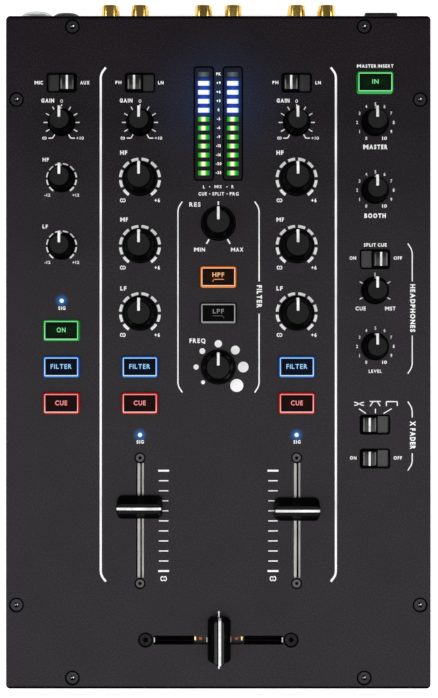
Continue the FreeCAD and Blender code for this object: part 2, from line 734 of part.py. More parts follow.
def knob(x, y, size):
    """A knob with its pointer set into the grip, pressed on the shaft of its potentiometer."""
    top = KNOB_BOTTOM + size["height"]
    rim_z = top - KNOB_RIM_ROUND
    skirt_z = KNOB_BOTTOM + size["skirt_height"]
    grip_top = size["top"]
    hollow = POT_NUT_FLATS / math.sqrt(3) + BODY_GAP
    hollow_top = PANEL_TOP + BUSH_RISE + BODY_GAP
    shaft_top = top - KNOB_CROWN
    rim_mid = KNOB_RIM_ROUND * (1 - math.sqrt(0.5))
    cap = turned(
        (0, shaft_top),
        (SHAFT_RADIUS, shaft_top),
        (SHAFT_RADIUS, hollow_top),
        (hollow, hollow_top),
        (hollow, KNOB_BOTTOM),
        (size["skirt"], KNOB_BOTTOM),
        (size["skirt"] - SKIRT_LEAN, skirt_z),
        (size["foot"], skirt_z + SKIRT_STEP),
        (grip_top, rim_z),
        ((grip_top - rim_mid, top - rim_mid), (grip_top - KNOB_RIM_ROUND, top)),
        (0, top + KNOB_DOME),
    )
    pointer = knob_pointer(size, top, rim_z, skirt_z)
    shaft_foot = BOARD_TOP + SHAFT_CLEAR
    shaft = rod(0, 0, shaft_foot, SHAFT_RADIUS, shaft_top - shaft_foot)
    return [moved(solid, x, y) for solid in (cap.cut(pointer), pointer, shaft)]


def knob_pointer(size, top, rim_z, skirt_z):
    """A fin from near the middle of the top, out past the rim and straight down to the foot of the grip."""
    foot_z = skirt_z + POINTER_FOOT
    lean = (size["foot"] - size["top"]) / (rim_z - skirt_z - SKIRT_STEP)
    foot = size["top"] + lean * (rim_z - foot_z)
    fin = size["fin"]
    side = outline(
        (POINTER_START, top + KNOB_DOME + POINTER_PROUD),
        (fin - POINTER_NOSE, top + POINTER_PROUD),
        (fin, top + POINTER_PROUD - POINTER_NOSE),
        (fin, foot_z),
        (foot - POINTER_DEPTH, foot_z),
        (size["top"] - KNOB_RIM_ROUND - POINTER_DEPTH, top - KNOB_RIM_ROUND - POINTER_DEPTH),
        (POINTER_START, top - POINTER_DEPTH),
    )
    bar = side.extrude(FreeCAD.Vector(0, POINTER_WIDTH, 0))
    bar.translate(FreeCAD.Vector(0, -POINTER_WIDTH / 2, 0))
    bar.rotate(FreeCAD.Vector(0, 0, 0), FreeCAD.Vector(0, 0, 1), 90)
    return bar


def button(x, y):
    """A clear cap with a plunger under it and an opaque face let into its top."""
    top = PANEL_TOP + BUTTON_RISE
    foot = BOARD_TOP + PUSH_SWITCH_HEIGHT + BUTTON_TRAVEL + BODY_GAP
    cap = rounded_box(0, 0, foot, BUTTON_WIDTH, BUTTON_DEPTH, top - foot, BUTTON_CORNER)
    cap = round_top(cap, BUTTON_EDGE_ROUND)
    face = rounded_box(
        0,
        0,
        top - FACE_THICKNESS,
        BUTTON_WIDTH - 2 * FACE_BORDER,
        BUTTON_DEPTH - 2 * FACE_BORDER,
        FACE_THICKNESS,
        BUTTON_CORNER - FACE_BORDER / 2,
    )
    plunger_foot = BOARD_TOP + BUTTON_TRAVEL + 2 * BODY_GAP
    plunger = rod(0, 0, plunger_foot, PLUNGER_RADIUS, foot - plunger_foot)
    return [moved(solid, x, y) for solid in (cap.fuse(plunger).cut(face), face)]


def lever(x, y, side):
    """A ribbed slide lever with a painted line, resting at one end of its throw."""
    foot = PANEL_BOTTOM - SLIDE_BODY_DROP + BODY_GAP
    top = PANEL_TOP + LEVER_RISE
    block = rounded_box(0, 0, foot, LEVER_WIDTH, LEVER_DEPTH, top - foot, LEVER_CORNER)
    stem = box(0, 0, foot - STEM_LENGTH, STEM_WIDTH, STEM_WIDTH, STEM_LENGTH)
    first = LEVER_LINE / 2 + RIB_PITCH
    groove = box(0, 0, top - LINE_DEPTH, RIB_GROOVE, LEVER_DEPTH, LINE_DEPTH)
    grooves = [moved(groove, flank * offset, 0) for flank in (-1, 1) for offset in (first, first + RIB_PITCH)]
    line = box(0, 0, top - LINE_DEPTH, LEVER_LINE, LEVER_DEPTH, LINE_DEPTH)
    solids = (block.fuse(stem).cut(grooves).cut(line), line)
    return [moved(solid, x + side * LEVER_THROW / 2, y) for solid in solids]


# Faders


def carriage_top():
    return RAIL_Z + CARRIAGE_HEIGHT / 2


def fader_frame(sizes):
    """A box under the slot: the carriage runs inside it, below the slits and the lugs for the screws."""
    slot_length = sizes["slot"][1]
    bay = sizes["travel"] + sizes["carriage"] + 2 * BODY_GAP
    length = max(bay + 2 * FRAME_WALL, sizes["screw_pitch"] + 2 * FRAME_END)
    bottom = PANEL_BOTTOM - FRAME_HEIGHT
    lug_bottom = PANEL_BOTTOM - FRAME_LUG
    inner_width = FRAME_WIDTH - 2 * FRAME_WALL
    frame = box(0, 0, bottom, FRAME_WIDTH, length, FRAME_HEIGHT)
    bay_bottom = bottom + FRAME_WALL
    holes = [box(0, 0, bay_bottom, inner_width, bay, lug_bottom - bay_bottom)]
    for place, width in sizes["slits"]:
        holes.append(box(place, 0, lug_bottom, width, slot_length, FRAME_LUG))
    hole = rod(0, 0, lug_bottom, sizes["screw"]["shank"] + RUNNING_GAP, FRAME_LUG)
    holes += [moved(hole, 0, end * sizes["screw_pitch"] / 2) for end in (-1, 1)]
    return frame.cut(holes), bay


def fader_frames():
    return [
        turned_to(fader_frame(sizes)[0], x, y, turn) for x, y, turn, _, sizes in FADERS.values()
    ]


def rail(length, radius):
    """A round bar along Y at the height of the rails."""
    bar = rod(0, 0, -length / 2, radius, length)
    bar.rotate(FreeCAD.Vector(0, 0, 0), FreeCAD.Vector(1, 0, 0), -90)
    return moved(bar, 0, 0, RAIL_Z)


def fader_rails():
    """Two polished rails in each frame."""
    rails = []
    for x, y, turn, _, sizes in FADERS.values():
        bar = rail(fader_frame(sizes)[1], RAIL_RADIUS)
        rails += [turned_to(moved(bar, side * RAIL_X, 0), x, y, turn) for side in (-1, 1)]
    return rails


def fader_carriage(x, y, turn, rest, sizes):
    """A block sliding on the rails, with the blade that carries the cap."""
    length = sizes["carriage"]
    block = box(0, 0, RAIL_Z - CARRIAGE_HEIGHT / 2, CARRIAGE_WIDTH, length, CARRIAGE_HEIGHT)
    bores = [moved(rail(length, RAIL_RADIUS + RAIL_FIT), side * RAIL_X, 0) for side in (-1, 1)]
    blade_height = CAP_BOTTOM + BLADE_RISE - carriage_top()
    blade_x = sizes["slits"][0][0]
    blade = box(blade_x, 0, carriage_top(), *LEVER_BLADE, blade_height)
    carriage = moved(block.cut(bores).fuse(blade), 0, rest)
    return [turned_to(carriage, x, y, turn)]


def fader_cap(x, y, turn, rest, sizes):
    """A cap with hollowed flanks and a painted line along its ridge."""
    half = CAP_DEPTH / 2
    ridge = CAP_TOP / 2
    foot = CAP_BOTTOM + CAP_FOOT
    top = CAP_BOTTOM + CAP_HEIGHT
    hollow = (ridge + CAP_HOLLOW[0] * (half - ridge), foot + CAP_HOLLOW[1] * (top - foot))
    section = outline(
        (-half, CAP_BOTTOM),
        (half, CAP_BOTTOM),
        (half, foot),
        (hollow, (ridge, top)),
        (-ridge, top),
        ((-hollow[0], hollow[1]), (-half, foot)),
    )
    cap = section.extrude(FreeCAD.Vector(0, CAP_LENGTH, 0))
    cap.translate(FreeCAD.Vector(0, -CAP_LENGTH / 2, 0))
    cap = cap.common(rounded_box(0, 0, CAP_BOTTOM, CAP_DEPTH, CAP_LENGTH, CAP_HEIGHT, CAP_CORNER))
    line = box(0, 0, top - LINE_DEPTH, CAP_LINE, CAP_LENGTH, LINE_DEPTH)
    blade_width, blade_length = LEVER_BLADE
    blade_x = sizes["slits"][0][0]
    pocket = box(0, -blade_x, CAP_BOTTOM, blade_length, blade_width, BLADE_RISE)
    solids = [turned_to(solid, 0, rest, 90) for solid in (cap.cut(line).cut(pocket), line)]
    return [turned_to(solid, x, y, turn) for solid in solids]


# Sockets


def phono_places():
    """Socket places on the rear wall as x and z: three groups, two rows, two in a row."""
    return [
        (group * PHONO_GROUP_PITCH + side * PHONO_PITCH / 2, z)
        for group in (-1, 0, 1)
        for z in PHONO_ROWS
        for side in (-1, 1)
    ]


def phono_sockets():
    """Gold sleeves, each with an insulator and a collar, and the blocks that hold four of them."""
    inner = PHONO_RADIUS - PHONO_WALL
    sleeve = turned(
        (inner, -SHEET),
        (PHONO_ROOT_RADIUS, -SHEET),
        (PHONO_ROOT_RADIUS, PHONO_COLLAR_HEIGHT),
        (PHONO_RADIUS, PHONO_COLLAR_HEIGHT),
        (PHONO_RADIUS, PHONO_REACH - PHONO_CHAMFER),
        (PHONO_RADIUS - PHONO_CHAMFER, PHONO_REACH),
        (inner, PHONO_REACH),
    )
    insulator_top = PHONO_REACH - PHONO_SINK
    insulator = turned(
        (0, -SHEET),
        (inner - RUNNING_GAP, -SHEET),
        (inner - RUNNING_GAP, insulator_top),
        (PHONO_PIN_RADIUS, insulator_top),
        (PHONO_PIN_RADIUS, 0),
        (0, 0),
    )
    collar = rod(0, 0, 0, PHONO_COLLAR, PHONO_COLLAR_HEIGHT)
    collar = collar.cut(rod(0, 0, 0, PHONO_ROOT_RADIUS + RUNNING_GAP, PHONO_COLLAR_HEIGHT))
    solids = []
    for x, z in phono_places():
        solids += [through_wall(solid, x, z) for solid in (sleeve, insulator, collar)]
    width, depth, height = PHONO_BLOCK
    middle_z = sum(PHONO_ROWS) / 2
    for group in (-1, 0, 1):
        block = box(0, 0, -SHEET - depth, width, height, depth)
        solids.append(through_wall(block, group * PHONO_GROUP_PITCH, middle_z))
    return solids


def jack(size):
    """A socket body with its bush, and the ring nut or square bezel that holds it to the wall."""
    reach = size["reach"]
    width, depth, height = JACK_BODY
    body = box(0, 0, -SHEET - depth, width, height, depth)
    bush = rod(0, 0, -SHEET, JACK_BUSH, SHEET + reach - JACK_LIP)
    bore = rod(0, 0, reach - JACK_LIP - JACK_BORE_DEPTH, JACK_BORE, JACK_BORE_DEPTH)
    holder = square_bezel(size) if "bezel_corner" in size else ring_nut(size)
    return body.fuse(bush).cut(bore), holder


def square_bezel(size):
    """A square block with rounded corners and a softened face, with room for the bush."""
    width, reach = 2 * size["nut"], size["reach"]
    block = round_top(rounded_box(0, 0, 0, width, width, reach, size["bezel_corner"]), BEZEL_SOFT)
    return block.cut(rod(0, 0, 0, JACK_BUSH + RUNNING_GAP, reach))


def ring_nut(size):
    """A ring whose face falls in two slopes from the bush to its rim, with six notches for a spanner."""
    inner, outer, reach, dome = JACK_BUSH + RUNNING_GAP, size["nut"], size["reach"], size["dome"]
    nut = turned(
        (inner, 0),
        (outer, 0),
        (outer, reach - dome),
        (outer - NUT_SHOULDER * (outer - inner), reach - NUT_SHOULDER_DROP * dome),
        (inner, reach),
    )
    deep = JACK_NUT_NOTCH
    notch = box(outer, 0, reach - dome - deep / 2, 2 * deep, deep, dome + deep / 2)
    notches = [turned_to(notch, 0, 0, turn) for turn in range(0, 360, 60)]
    return nut.cut(notches)


def jack_sockets():
    solids = []
    for size in REAR_JACKS:
        solids += [through_wall(solid, size["x"], JACK_Z) for solid in jack(size)]
    solids += [through_wall(solid, PHONES_JACK["x"], JACK_Z, rear=False) for solid in jack(PHONES_JACK)]
    return solids


def power_inlet():
    """A round low-voltage inlet with its centre pin."""
    width, depth, height = POWER_BODY
    body = box(0, 0, -SHEET - depth, width, height, depth)
    bush = rod(0, 0, -SHEET, POWER_RADIUS, SHEET + POWER_REACH)
    bore = rod(0, 0, POWER_REACH - POWER_BORE_DEPTH, POWER_BORE, POWER_BORE_DEPTH)
    pin = rod(0, 0, POWER_REACH - POWER_BORE_DEPTH, POWER_PIN, POWER_BORE_DEPTH - POWER_PIN_SINK)
    return [through_wall(body.fuse(bush).cut(bore).fuse(pin), POWER_X, POWER_Z)]


def nodes():
    """Every piece of the mixer by name, as a list of solids."""
    fixed = (
        top_panel,
        chassis_tray,
        rear_panel,
        panel_screws,
        case_screws,
        fader_screws,
        rubber_feet,
        control_board,
        jack_board,
        board_pillars,
        fader_frames,
        fader_rails,
        potentiometers,
        potentiometer_nuts,
        switch_bodies,
        meter_housings,
        blue_lights,
        green_lights,
        phono_sockets,
        jack_sockets,
        power_inlet,
    )
    pieces = {make.__name__: make() for make in fixed}
    pieces.update({name: knob(*place) for name, place in KNOBS.items()})
    pieces.update({name: button(*place) for name, place in BUTTONS.items()})
    pieces.update({name: lever(*place) for name, place in LEVERS.items()})
    pieces.update({name + "_cap": fader_cap(*place) for name, place in FADERS.items()})
    pieces.update({name + "_carriage": fader_carriage(*place) for name, place in FADERS.items()})
    return pieces


def main():
    os.makedirs("parts", exist_ok=True)
    for name, solids in nodes().items():
        shape = solids[0] if len(solids) == 1 else Part.makeCompound(solids)
        shape.translate(FreeCAD.Vector(0, ORIGIN_SHIFT, 0))
        shape.exportStep(os.path.join("parts", name + ".step"))


if __name__ == "__main__":
    main()
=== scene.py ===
import functools
import json
import bpy
import bmesh
import numpy as np
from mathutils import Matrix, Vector

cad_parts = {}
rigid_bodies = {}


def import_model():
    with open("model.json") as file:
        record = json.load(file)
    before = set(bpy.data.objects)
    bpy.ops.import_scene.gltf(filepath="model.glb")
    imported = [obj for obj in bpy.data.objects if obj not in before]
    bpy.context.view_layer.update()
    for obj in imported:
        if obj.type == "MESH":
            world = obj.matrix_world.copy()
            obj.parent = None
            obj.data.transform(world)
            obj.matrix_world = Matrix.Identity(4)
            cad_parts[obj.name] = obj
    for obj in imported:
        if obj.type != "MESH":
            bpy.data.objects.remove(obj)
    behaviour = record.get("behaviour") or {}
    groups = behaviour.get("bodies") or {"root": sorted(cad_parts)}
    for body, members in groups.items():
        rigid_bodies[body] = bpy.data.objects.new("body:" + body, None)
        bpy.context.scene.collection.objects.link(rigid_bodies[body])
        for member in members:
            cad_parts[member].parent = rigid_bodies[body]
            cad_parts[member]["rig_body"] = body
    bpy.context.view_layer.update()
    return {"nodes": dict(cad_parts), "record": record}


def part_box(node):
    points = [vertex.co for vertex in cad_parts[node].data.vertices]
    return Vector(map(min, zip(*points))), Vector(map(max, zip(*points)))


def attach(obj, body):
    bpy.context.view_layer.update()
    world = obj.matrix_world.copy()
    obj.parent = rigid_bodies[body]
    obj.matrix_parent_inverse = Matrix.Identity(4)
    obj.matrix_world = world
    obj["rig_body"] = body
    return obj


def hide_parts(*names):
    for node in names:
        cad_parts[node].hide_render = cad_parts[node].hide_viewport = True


# The looks of a two-channel DJ mixer. Shapes are worked out in millimetres from the middle of
# the panel's top face: x to the user's right, y to the rear, z up. place() takes them to metres.

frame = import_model()

MM = 0.001
SIDES = (-1, 1)
STATIC = "chassis"
PANEL_LOW, PANEL_HIGH = (np.array(corner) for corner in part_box("top_panel"))
PANEL_MIDDLE = np.array([*(PANEL_LOW + PANEL_HIGH)[:2] / 2, PANEL_HIGH[2]])
WALL_Y = 159.2
CROSS_Y = -136.85
MIC_X, LEFT_X, RIGHT_X, MASTER_X = COLUMNS = -74.5, -37.25, 37.25, 74.5
SIGNAL_PLACES = [(MIC_X, 24.5), (LEFT_X, -39.3), (RIGHT_X, -39.3)]
METER_X, METER_Y, SEGMENT_PITCH = 6.9, 108.8, 4.265
SEGMENT_ROWS = METER_Y + (5.5 - np.arange(12)) * SEGMENT_PITCH
BLUE_ROWS, GREEN_ROWS = SEGMENT_ROWS[1:5], SEGMENT_ROWS[5:]


# Shapes: points, blocks of faces with equally many corners, and a mark on each point


def unit(vectors):
    """Vectors divided by their lengths."""
    return vectors / np.linalg.norm(vectors, axis=-1, keepdims=True)


def place(points):
    """Millimetres from the middle of the panel's top face, as metres in the frame."""
    return np.asarray(points) * MM + PANEL_MIDDLE


def middle(node):
    """Middle of a CAD node and its size, in millimetres from the middle of the panel's top face."""
    low, high = (np.array(corner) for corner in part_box(node))
    return ((low + high) / 2 - PANEL_MIDDLE) / MM, (high - low) / MM


def shell(rings, marks=None, loop=False):
    """Rings of points, row by row, joined by four-sided faces. Every ring closes on itself. The
    first and last rings get flat ends, or meet when loop is true. The sign of the volume turns
    it outwards. Marks are one per ring or one per point."""
    rows, columns = rings.shape[:2]
    number = np.arange(rows * columns).reshape(rows, columns)
    first = number if loop else number[:-1]
    second = np.roll(number, -1, axis=0) if loop else number[1:]
    corners = [first, np.roll(first, -1, 1), np.roll(second, -1, 1), second]
    quads = np.stack(corners, -1).reshape(-1, 4)
    points = rings.reshape(-1, 3)
    a, b, c, d = np.moveaxis((points - points.mean(0))[quads], 1, 0)
    outward = np.sum(a * np.cross(b, c)) + np.sum(a * np.cross(c, d)) > 0
    blocks = [quads] if loop else [quads, np.stack([number[0][::-1], number[-1]])]
    if not outward:
        blocks = [faces[:, ::-1] for faces in blocks]
    marks = np.zeros(rows) if marks is None else np.asarray(marks)
    marks = marks[:, None] if marks.ndim == 1 else marks
    return points, blocks, np.broadcast_to(marks, (rows, columns)).ravel()


def shifted(shape, x, y):
    """A shape moved by x and y."""
    points, blocks, marks = shape
    return points + (x, y, 0.0), blocks, marks


def repeated(shape, places):
    """A shape at each of several places."""
    return [shifted(shape, x, y) for x, y in places]


def marked(shape, mark):
    """A shape with one mark on all its points."""
    points, blocks, marks = shape
    return points, blocks, np.full(len(marks), mark)


def eased(corners, reach, steps):
    """A line of corners whose inner corners become quadratic curves that start and end reach
    away from them."""
    corners = np.asarray(corners, float)
    before, at, after = corners[:-2], corners[1:-1], corners[2:]
    reach = np.broadcast_to(np.asarray(reach, float), len(at))[:, None]
    start = (at + unit(before - at) * reach)[:, None]
    end = (at + unit(after - at) * reach)[:, None]
    t = np.linspace(0, 1, steps)[None, :, None]
    curve = (1 - t) ** 2 * start + 2 * t * (1 - t) * at[:, None] + t ** 2 * end
    return np.concatenate([corners[:1], curve.reshape(-1, corners.shape[1]), corners[-1:]])


def eased_loop(corners, reach):
    """A closed outline whose corners are all eased."""
    return eased([corners[-1], *corners, corners[0]], reach, 4)[1:-1]


SMALLEST_CORNER = 0.15


def stacked(width, depth, corner, profile, steps=6):
    """Rounded rectangles one above the other: a row of the profile gives an inset and a height."""
    inset, height = np.asarray(profile, float).T[:, :, None]
    radius = np.maximum(corner - inset, SMALLEST_CORNER)
    quarter = np.linspace(0, np.pi / 2, steps)
    angle = (quarter + np.arange(4)[:, None] * np.pi / 2).ravel()
    x = np.repeat([1, -1, -1, 1], steps) * (width / 2 - inset - radius) + radius * np.cos(angle)
    y = np.repeat([1, 1, -1, -1], steps) * (depth / 2 - inset - radius) + radius * np.sin(angle)
    return np.stack([x, y, height + 0 * angle], -1)


def block(width, depth, corner, low, high, ease):
    """A block of rounded rectangles whose upper edge is eased."""
    profile = eased([(0, low), (0, high), (2 * ease, high)], ease, 5)
    return shell(stacked(width, depth, corner, profile))


def turned(profile, steps):
    """A profile of radius and height carried once round the z axis."""
    radius, height = np.asarray(profile, float).T[:, :, None]
    angle = np.linspace(0, 2 * np.pi, steps, endpoint=False)
    return np.stack([radius * np.cos(angle), radius * np.sin(angle), height + 0 * angle], -1)


def carried(section, path, across, lift):
    """A closed section carried along a path: its two coordinates run along across and lift."""
    right, up = np.asarray(section, float).T[:, None, :, None]
    return path[:, None] + right * across[:, None] + up * lift[:, None]


# Pieces

TOUCHING = 1e-7


def stood(name, data):
    """A new object in the scene for a mesh, a text, a lamp or the camera."""
    made = bpy.data.objects.new(name, data)
    bpy.context.scene.collection.objects.link(made)
    return made


def piece(name, shapes, material, body=STATIC, stands_for=(), crease=32.0, merge=False):
    """One object made of shapes, riding on a body. The marks are kept as the attribute glow."""
    starts = np.cumsum([0] + [len(points) for points, _, _ in shapes])
    blocks = [faces + start for (_, blocks, _), start in zip(shapes, starts) for faces in blocks]
    points, marks = (np.concatenate([shape[part] for shape in shapes]) for part in (0, 2))
    mesh = bpy.data.meshes.new(name)
    mesh.from_pydata(place(points), [], [face for faces in blocks for face in faces.tolist()])
    glow = mesh.attributes.new("glow", "FLOAT", "POINT")
    glow.data.foreach_set("value", marks.astype(np.float32))
    if merge:
        work = bmesh.new()
        work.from_mesh(mesh)
        bmesh.ops.remove_doubles(work, verts=work.verts, dist=TOUCHING)
        work.to_mesh(mesh)
        work.free()
    mesh.materials.append(material)
    mesh.shade_smooth()
    mesh.set_sharp_from_angle(angle=np.radians(crease))
    made = stood(name, mesh)
    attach(made, body)
    if stands_for:
        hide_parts(*stands_for)


def dressed(node, ending, shapes, material, slot=None, merge=False):
    """A piece at the middle of a CAD node, on its body. With a slot it stands for the node."""
    (x, y, _), _ = middle(node)
    shapes = [shifted(shape, x, y) for shape in shapes]
    body = frame["nodes"][node]["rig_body"]
    piece(node + ending, shapes, material, body, [node] if slot else (), merge=merge)


def nodes_named(ending):
    """The names of the CAD nodes that have an ending, in order."""
    return sorted(name for name in frame["nodes"] if name.endswith(ending))


# Print on the panel

INK, INK_SINK = 0.05, 0.02


def ribbon(path, width, base=-INK_SINK, height=INK, loop=False):
    """A flat strip: a rectangle carried along a path in the plane, its width across the path."""
    path = np.asarray(path, float)
    run = np.roll(path, -1, 0) - np.roll(path, 1, 0) if loop else np.gradient(path, axis=0)
    run = unit(run)
    across = np.stack([-run[:, 1], run[:, 0], 0 * run[:, 0]], -1)
    lift = np.broadcast_to([0.0, 0.0, 1.0], across.shape)
    half = width / 2
    section = [(-half, base), (half, base), (half, height), (-half, height)]
    return shell(carried(section, np.c_[path, 0 * path[:, 0]], across, lift), loop=loop)


def surround(width, depth, corner, thick, base, height):
    """A ring of one thickness, carried along a rounded rectangle just inside an opening's edge."""
    path = stacked(width - thick, depth - thick, corner - thick / 2, [(0.0, 0.0)], 8)[0, :, :2]
    return ribbon(path, thick, base, height, loop=True)


def polar(x, y, radius, degrees):
    """Points at a radius round x and y, by degrees clockwise from the rear."""
    angle = np.radians(degrees)
    return np.stack([x + radius * np.sin(angle), y + radius * np.cos(angle)], -1)


def tick(x, y, inner, outer, degrees, width):
    """A straight mark pointing at x and y, from an inner to an outer radius."""
    return ribbon(polar(x, y, np.array([inner, outer]), np.full(2, float(degrees))), width)


def dash(x, y, radius, degrees, span, width):
    """A strip bent along a circle round x and y, span degrees long."""
    return ribbon(polar(x, y, radius, degrees + np.linspace(-span / 2, span / 2, 9)), width)


def dot(x, y, radius):
    """A flat disc: two circles one above the other."""
    return shifted(shell(turned([(radius, -INK_SINK), (radius, INK)], 40)), x, y)


def endless(x, y, width, height, line):
    """The sign for no limit: two oval rings side by side that share their middle line."""
    angle = np.linspace(0, 2 * np.pi, 28, endpoint=False)
    half = (width - line) / 4
    path = np.c_[half * np.cos(angle), (height - line) / 2 * np.sin(angle)]
    return [ribbon(path + (x + side * half, y), line, loop=True) for side in SIDES]


BRACKET_TURN = 3.168
BRACKET_EASE = 0.62 * BRACKET_TURN


def bracket(x, rear, front, width, inward, *gap):
    """A long line along y whose ends bend inwards, left open between the two ends of a gap."""
    start = [(x + inward, rear), (x, rear - BRACKET_TURN)]
    end = [(x, front + BRACKET_TURN), (x + inward, front)]
    paths = [[*start, (x, gap[0])], [(x, gap[1]), *end]] if gap else [start + end]
    return [ribbon(eased(path, BRACKET_EASE, 9), width) for path in paths]


WIDE_LETTERS = {"M": 1.5}
LETTER_GAP, WORD_GAP = 0.17, 0.24
NARROWED = 0.86
PLAIN, BOLD, HEAVY = 0.036, 0.05, 0.055


@functools.cache
def letter(sign, weight):
    """The outline of one letter, filled and given thickness, as points and triangles."""
    curve = bpy.data.curves.new("letter", "FONT")
    curve.body = sign
    curve.extrude = 0.5
    curve.offset = weight
    curve.resolution_u = 3
    made = stood("letter", curve)
    graph = bpy.context.evaluated_depsgraph_get()
    mesh = bpy.data.meshes.new_from_object(made.evaluated_get(graph))
    mesh.calc_loop_triangles()
    points = np.empty(len(mesh.vertices) * 3)
    triangles = np.empty(len(mesh.loop_triangles) * 3, int)
    mesh.vertices.foreach_get("co", points)
    mesh.loop_triangles.foreach_get("vertices", triangles)
    bpy.data.objects.remove(made)
    bpy.data.curves.remove(curve)
    bpy.data.meshes.remove(mesh)
    return points.reshape(-1, 3), triangles.reshape(-1, 3)


CAPITAL = np.ptp(letter("H", 0.0)[0][:, 1])


def typeset(text, weight):
    """Letters side by side on one line with even gaps, the widest ones drawn wider."""
    at, count, points, triangles = 0.0, 0, [], []
    for sign in text:
        if sign == " ":
            at += WORD_GAP
            continue
        outline, faces = letter(sign, weight)
        stretch = WIDE_LETTERS.get(sign, 1.0)
        points.append((outline - (outline[:, 0].min(), 0, 0)) * (stretch, 1, 1) + (at, 0, 0))
        triangles.append(faces + count)
        at += np.ptp(outline[:, 0]) * stretch + LETTER_GAP
        count += len(outline)
    return np.concatenate(points), np.concatenate(triangles)


def words(text, x, y, height, width=None, turn=0.0, weight=PLAIN, base=-INK_SINK, top=INK):
    """Text as a thin raised layer: capitals of one height, stretched to a width, centred and
    turned."""
    points, triangles = typeset(text, weight)
    scale = height / (CAPITAL + 2 * weight)
    natural = np.ptp(points[:, 0]) * scale
    stretch = scale * (width / natural if width else NARROWED)
    along = (points[:, 0] - (points[:, 0].min() + points[:, 0].max()) / 2) * stretch
    over = (points[:, 1] + weight) * scale - height / 2
    layer = np.where(points[:, 2] > 0, top, base)
    angle = np.radians(turn)
    spun_x = x + along * np.cos(angle) - over * np.sin(angle)
    spun_y = y + along * np.sin(angle) + over * np.cos(angle)
    return np.stack([spun_x, spun_y, layer], -1), [triangles], np.zeros(len(points))


# Finishes


def fed(node, inputs):
    """A node's inputs, each set to a plain value or joined to another node's output."""
    for key, value in dict(inputs).items():
        if isinstance(value, bpy.types.NodeSocket):
            node.id_data.links.new(value, node.inputs[key])
        else:
            node.inputs[key].default_value = value


def added(tree, kind, inputs=(), **settings):
    """The outputs of a new node that has some settings and inputs."""
    node = tree.nodes.new(kind)
    for key, value in settings.items():
        setattr(node, key, value)
    fed(node, inputs)
    return node.outputs


def shade(colour, factor):
    """A colour made lighter or darker."""
    return tuple(min(1.0, part * factor) for part in colour)


